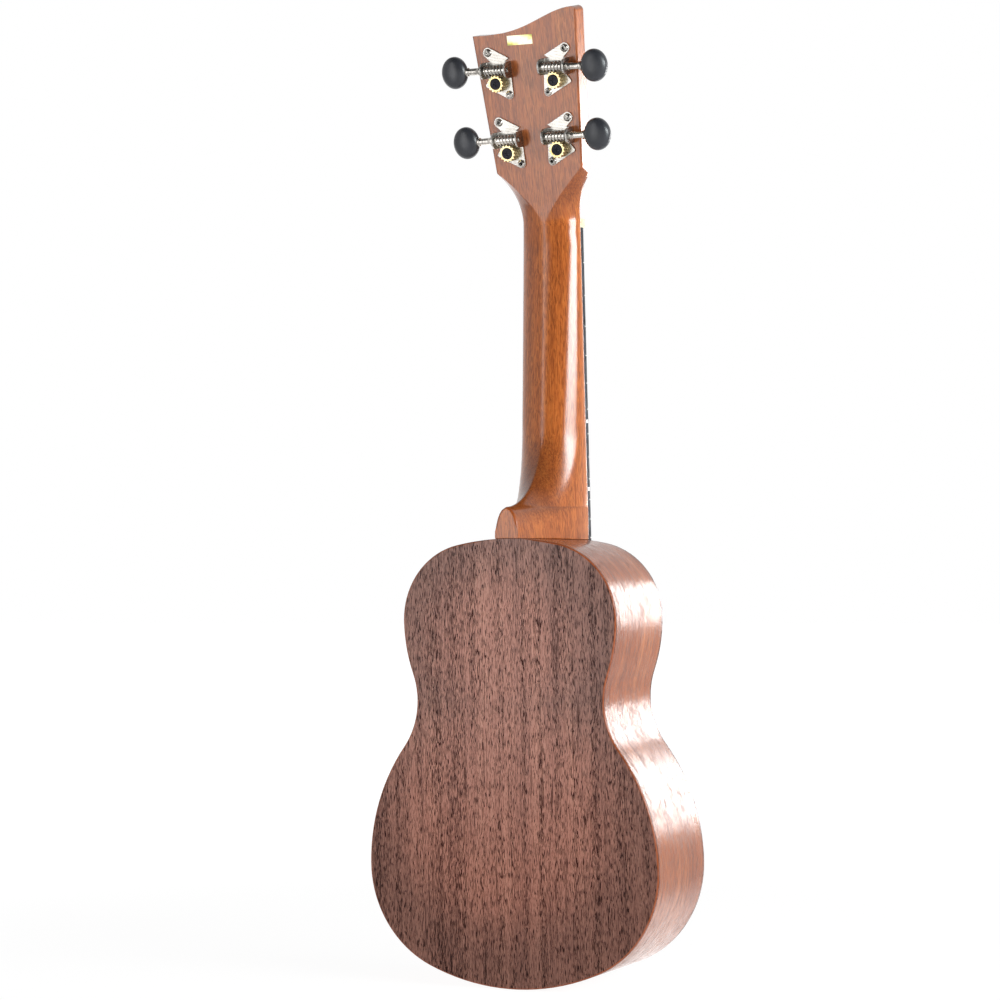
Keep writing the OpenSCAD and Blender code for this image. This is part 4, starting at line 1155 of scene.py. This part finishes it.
@dataclass
class Strings:
    """Four strings, each from its knot behind the bridge to three turns round its post."""

    neck: Neck
    tuners: Sequence[Tuner]
    radii: tuple[float, ...] = (0.00032, 0.00043, 0.00038, 0.00032)
    nut_spacing: float = 0.0276
    saddle_spacing: float = 0.0405
    nut_y: float = -0.0056
    nut_z: float = 0.0004
    saddle_y: float = -0.0096
    saddle_z: float = -0.346
    saddle_gap: float = 0.00006
    saddle_turns: tuple[int, ...] = (45, 36, 27, 18, 9, 0)
    crown: float = 0.0014
    trough: float = 0.006
    hole_y: float = -0.0042
    tail_z: float = -0.36225
    knot_r: float = 0.00125
    knot_l: float = 0.003
    knot_steps: int = 12
    knot_power: float = 0.6
    post_r: float = 0.0025
    wind_start: float = 0.0092
    wind_gap: float = 0.00055
    wind_clear: float = 0.00025
    turns: int = 3
    steps: int = 48
    end_rise: float = 0.05
    roundness: int = 4

    def build(self) -> None:
        """Make and dress the four strings."""
        for index, tuner in enumerate(self.tuners):
            self.string(index, tuner)

    def route(self, index: int, tuner: Tuner) -> list[tuple[Vector, float]]:
        """Lay out one string.

        Args:
            index: Which string, from bass to treble.
            tuner: The tuner that winds it.

        Returns:
            Its points, each with its radius.
        """
        radius = self.radii[index]
        share = index / (len(self.radii) - 1) - 0.5
        x_saddle, x_nut = share * self.saddle_spacing, share * self.nut_spacing
        points = []
        for step in range(self.knot_steps + 1):
            part = step / self.knot_steps
            bulge = math.sin(math.pi * part) ** self.knot_power if 0 < part < 1 else 0.0
            points.append((Vector((x_saddle, self.hole_y, self.tail_z - self.knot_l * (1 - part))),
                           radius + (self.knot_r - radius) * bulge))
        points.append((Vector((x_saddle, self.hole_y, self.saddle_z - self.crown - self.trough)), radius))
        over = self.crown + radius + self.saddle_gap
        for angle in self.saddle_turns:
            turn = math.radians(angle)
            points.append((Vector((x_saddle, self.saddle_y + self.crown - over * math.cos(turn),
                                   self.saddle_z - over * math.sin(turn))), radius))
        points.append((Vector((x_nut, self.nut_y, self.nut_z)), radius))
        points.append((Vector((x_nut, self.nut_y, self.neck.nut_t)), radius))
        return points + self.winding(x_nut, tuner, radius)

    def winding(self, x_nut: float, tuner: Tuner, radius: float) -> list[tuple[Vector, float]]:
        """Lay out the turns round the post.

        Args:
            x_nut: Where the string leaves the nut.
            tuner: The tuner that winds it.
            radius: The string's radius.

        Returns:
            The points of the turns and of the short end.
        """
        head, tilt = self.neck.head_frame(), self.neck.tilt
        out = self.post_r + self.wind_clear + radius
        post = tuner.post()
        away = Vector((x_nut, self.nut_y * math.sin(tilt))) - post
        touch = math.atan2(away.y, away.x) - tuner.side * math.acos(out / away.length)
        pitch = 2 * radius + self.wind_gap
        points = []
        for step in range(self.turns * self.steps + 1):
            angle = touch - tuner.side * math.tau * step / self.steps
            level = -self.wind_start + pitch * step / self.steps
            place = Vector((post.x + out * math.cos(angle), level, post.y + out * math.sin(angle)))
            points.append((head @ place, radius))
        ahead = Vector((tuner.side * math.sin(angle), self.end_rise, -tuner.side * math.cos(angle)))
        points.append((head @ (place + ahead * 2 * radius), radius))
        return points

    def string(self, index: int, tuner: Tuner) -> None:
        """Draw one string as a round tube along its route.

        Args:
            index: Which string, from bass to treble.
            tuner: The tuner that winds it.
        """
        route = self.route(index, tuner)
        name = "string_" + tuner.name
        data = bpy.data.curves.new(name + "_wound", "CURVE")
        data.dimensions = "3D"
        data.bevel_depth = self.radii[index]
        data.bevel_resolution = self.roundness
        data.use_fill_caps = True
        line = data.splines.new("POLY")
        line.points.add(len(route) - 1)
        for point, (place, radius) in zip(line.points, route):
            point.co = (*place, 1.0)
            point.radius = radius / self.radii[index]
        line.use_smooth = True
        data.materials.append(NYLON.material())
        register(add_object(name + "_wound", data), ROOT_BODY, name)


@dataclass(frozen=True)
class Lamp:
    """One soft panel of light: place, target, size and brightness as seen in a mirror."""

    name: str
    place: Triple
    target: Triple
    size: Pair
    brightness: float
    colour: Triple = (1.0, 1.0, 1.0)
    gloss_only: bool = False

    def build(self) -> None:
        """Hang the panel."""
        data = bpy.data.lights.new(self.name, "AREA")
        data.shape = "RECTANGLE"
        data.size, data.size_y = self.size
        data.energy = self.brightness * math.pi * self.size[0] * self.size[1]
        data.color = self.colour
        lamp = add_object(self.name, data)
        lamp.location = self.place
        aim = Vector(self.target) - Vector(self.place)
        lamp.rotation_euler = aim.to_track_quat("-Z", "Y").to_euler()
        lamp.visible_camera = False
        lamp.visible_diffuse = not self.gloss_only


@dataclass
class Studio:
    """Camera, lamps, world and floor."""

    eye: Triple = (-0.6821, 1.4625, -0.1733)
    yaw: float = math.radians(26.0)
    roll: float = math.radians(0.78)
    lens: float = 104.02
    sensor: float = 36.0
    shift: Pair = (-0.0066, 0.040)
    ambient: float = 0.16
    front_gloss: float = 0.1
    behind_range: Pair = (-0.45, 0.1)
    left_range: Pair = (0.4, 0.75)
    floor_z: float = -0.4157
    floor_half: float = 6.0
    floor_glow: float = 1.08
    floor_colour: tuple[float, float, float, float] = (0.9, 0.9, 0.9, 1.0)
    floor_shadow: float = 0.12
    shadow_reach: Pair = (0.3, 1.1)
    floor_bounce: float = 0.75
    # Painted light: extra floor glow towards the right for bounced light, and in front of the soundboard
    # for the rim's reflections.
    floor_glow_right: float = 0.5
    glow_right_range: Pair = (-0.5, -0.1)
    floor_glow_front: float = 1.4
    glow_front_range: Pair = (-0.02, 0.03)
    glow_front_side: Pair = (-0.17, -0.11)
    lamps: tuple[Lamp, ...] = (
        Lamp("left_panel", (0.45, 1.0, 0.055), (-0.02, 0.08, 0.055), (0.25, 0.89), 3.6),
        Lamp("right_strip", (-1.31, 0.31, 0.17), (0.0, 0.0, 0.0), (1.04, 0.28), 22.5),
        Lamp("streak_core", (-1.31, 0.31, 0.17), (0.0, 0.0, 0.0), (0.62, 0.28), 22.0,
             colour=(0.7, 0.95, 1.0), gloss_only=True),
        Lamp("rim_glare", (-0.4325, -1.05, -0.04), (-0.1, 0.0, -0.04), (0.135, 0.48), 22.0,
             gloss_only=True),
    )

    def build(self) -> None:
        """Set camera, lamps, world and floor."""
        self.camera()
        self.world()
        self.floor()
        for lamp in self.lamps:
            lamp.build()
        bpy.context.scene.view_settings.view_transform = "Standard"

    def camera(self) -> None:
        """Place the camera at the photograph's angle."""
        ahead = Vector((math.sin(self.yaw), -math.cos(self.yaw), 0.0))
        right = Vector((-math.cos(self.yaw), -math.sin(self.yaw), 0.0))
        up = Vector((0.0, 0.0, 1.0))
        level = right * math.cos(self.roll) - up * math.sin(self.roll)
        upright = right * math.sin(self.roll) + up * math.cos(self.roll)
        data = bpy.data.cameras.new("camera")
        data.lens, data.sensor_width = self.lens, self.sensor
        data.shift_x, data.shift_y = self.shift
        camera = add_object("camera", data)
        turn = Matrix((level, upright, -ahead)).transposed()
        camera.matrix_world = Matrix.Translation(self.eye) @ turn.to_4x4()
        bpy.context.scene.camera = camera

    def world(self) -> None:
        """Light from all round, with a white backdrop that camera and gloss see."""
        world = bpy.data.worlds.new("studio")
        world.use_nodes = True
        graph = Graph(world.node_tree)
        ray = graph.put("LightPath").outputs
        heading = graph.split(graph.put("TexCoord").outputs["Generated"])
        behind = graph.span(heading["Y"], *self.behind_range, 1.0, self.front_gloss)
        left = graph.span(heading["X"], *self.left_range, self.front_gloss, 1.0)
        mirrored = graph.math("MAXIMUM", ray["Is Glossy Ray"], ray["Is Transmission Ray"])
        gain = graph.math("SUBTRACT", graph.math("MAXIMUM", behind, left), self.ambient)
        strength = graph.math("MULTIPLY_ADD", gain, mirrored, self.ambient)
        strength = graph.math("MAXIMUM", strength, ray["Is Camera Ray"])
        backdrop = graph.tree.nodes["Background"].inputs
        graph.feed(backdrop["Color"], WHITE)
        graph.feed(backdrop["Strength"], strength)
        bpy.context.scene.world = world

    def floor(self) -> None:
        """Lay a pale floor that keeps a faint shadow."""
        shape = bmesh.new()
        bmesh.ops.create_grid(shape, x_segments=2, y_segments=2, size=self.floor_half)
        bmesh.ops.translate(shape, vec=(0.0, 0.0, self.floor_z), verts=shape.verts)
        data = bpy.data.meshes.new("floor")
        shape.to_mesh(data)
        shape.free()
        data.materials.append(self.floor_material())
        floor = add_object("floor", data)

    def floor_material(self) -> bpy.types.Material:
        """Make the floor's finish: white to the camera, with a faint shadow and a soft bounce, and painted
        light: it glows brighter towards the right, lighting the object from below, and in front of the
        soundboard, where the rim's gloss sees it.

        Returns:
            The material.
        """
        canvas = Canvas("floor_white")
        ray = canvas.put("LightPath").outputs
        parts = canvas.split(canvas.place)
        # Painted light: the floor glows brighter towards the right for diffuse rays and in front for glossy
        # rays.
        right = canvas.span(parts["X"], *self.glow_right_range, self.floor_glow_right, 0.0)
        front_glow = canvas.span(parts["Y"], *self.glow_front_range, self.floor_glow_front, 0.0)
        front_glow = canvas.math("MULTIPLY", front_glow, canvas.span(parts["X"], *self.glow_front_side))
        level = canvas.math("MULTIPLY_ADD", right, ray["Is Diffuse Ray"], self.floor_glow)
        level = canvas.math("MULTIPLY_ADD", front_glow, ray["Is Glossy Ray"], level)
        glow = canvas.put("Emission", {"Color": WHITE, "Strength": level})
        card = canvas.put("BsdfDiffuse", {"Color": self.floor_colour})
        away = canvas.measure("LENGTH", canvas.vector("MULTIPLY", canvas.place, (1.0, 1.0, 0.0)))
        near = canvas.span(away, *self.shadow_reach, 1.0 - self.floor_shadow, 1.0)
        seen = canvas.math("MULTIPLY", ray["Is Camera Ray"], near)
        share = canvas.math("MAXIMUM", seen, self.floor_bounce)
        blend = canvas.row("MixShader", (share, card.outputs[0], glow.outputs[0]))
        canvas.feed(canvas.tree.nodes["Material Output"].inputs["Surface"], blend.outputs[0])
        return canvas.material


def main() -> None:
    """Build the studio and every piece."""
    logging.basicConfig(level=logging.INFO, format="%(name)s: %(message)s")
    Studio().build()
    Body().build()
    neck = Neck()
    neck.build()
    BridgeEnd().build()
    tuners = [Tuner("g", -1, 0.0152, 0.0453, -1.2, neck), Tuner("c", -1, 0.0175, 0.083, -2.8, neck),
              Tuner("e", 1, 0.0175, 0.0837, 1.8, neck), Tuner("a", 1, 0.0152, 0.0453, 0.5, neck)]
    for tuner in tuners:
        tuner.build()
    softened_node("tuner_screws", TURNED_NICKEL, SCREW_ROUND)
    Strings(neck, tuners).build()
    bpy.context.view_layer.update()


if __name__ == "__main__":
    main()
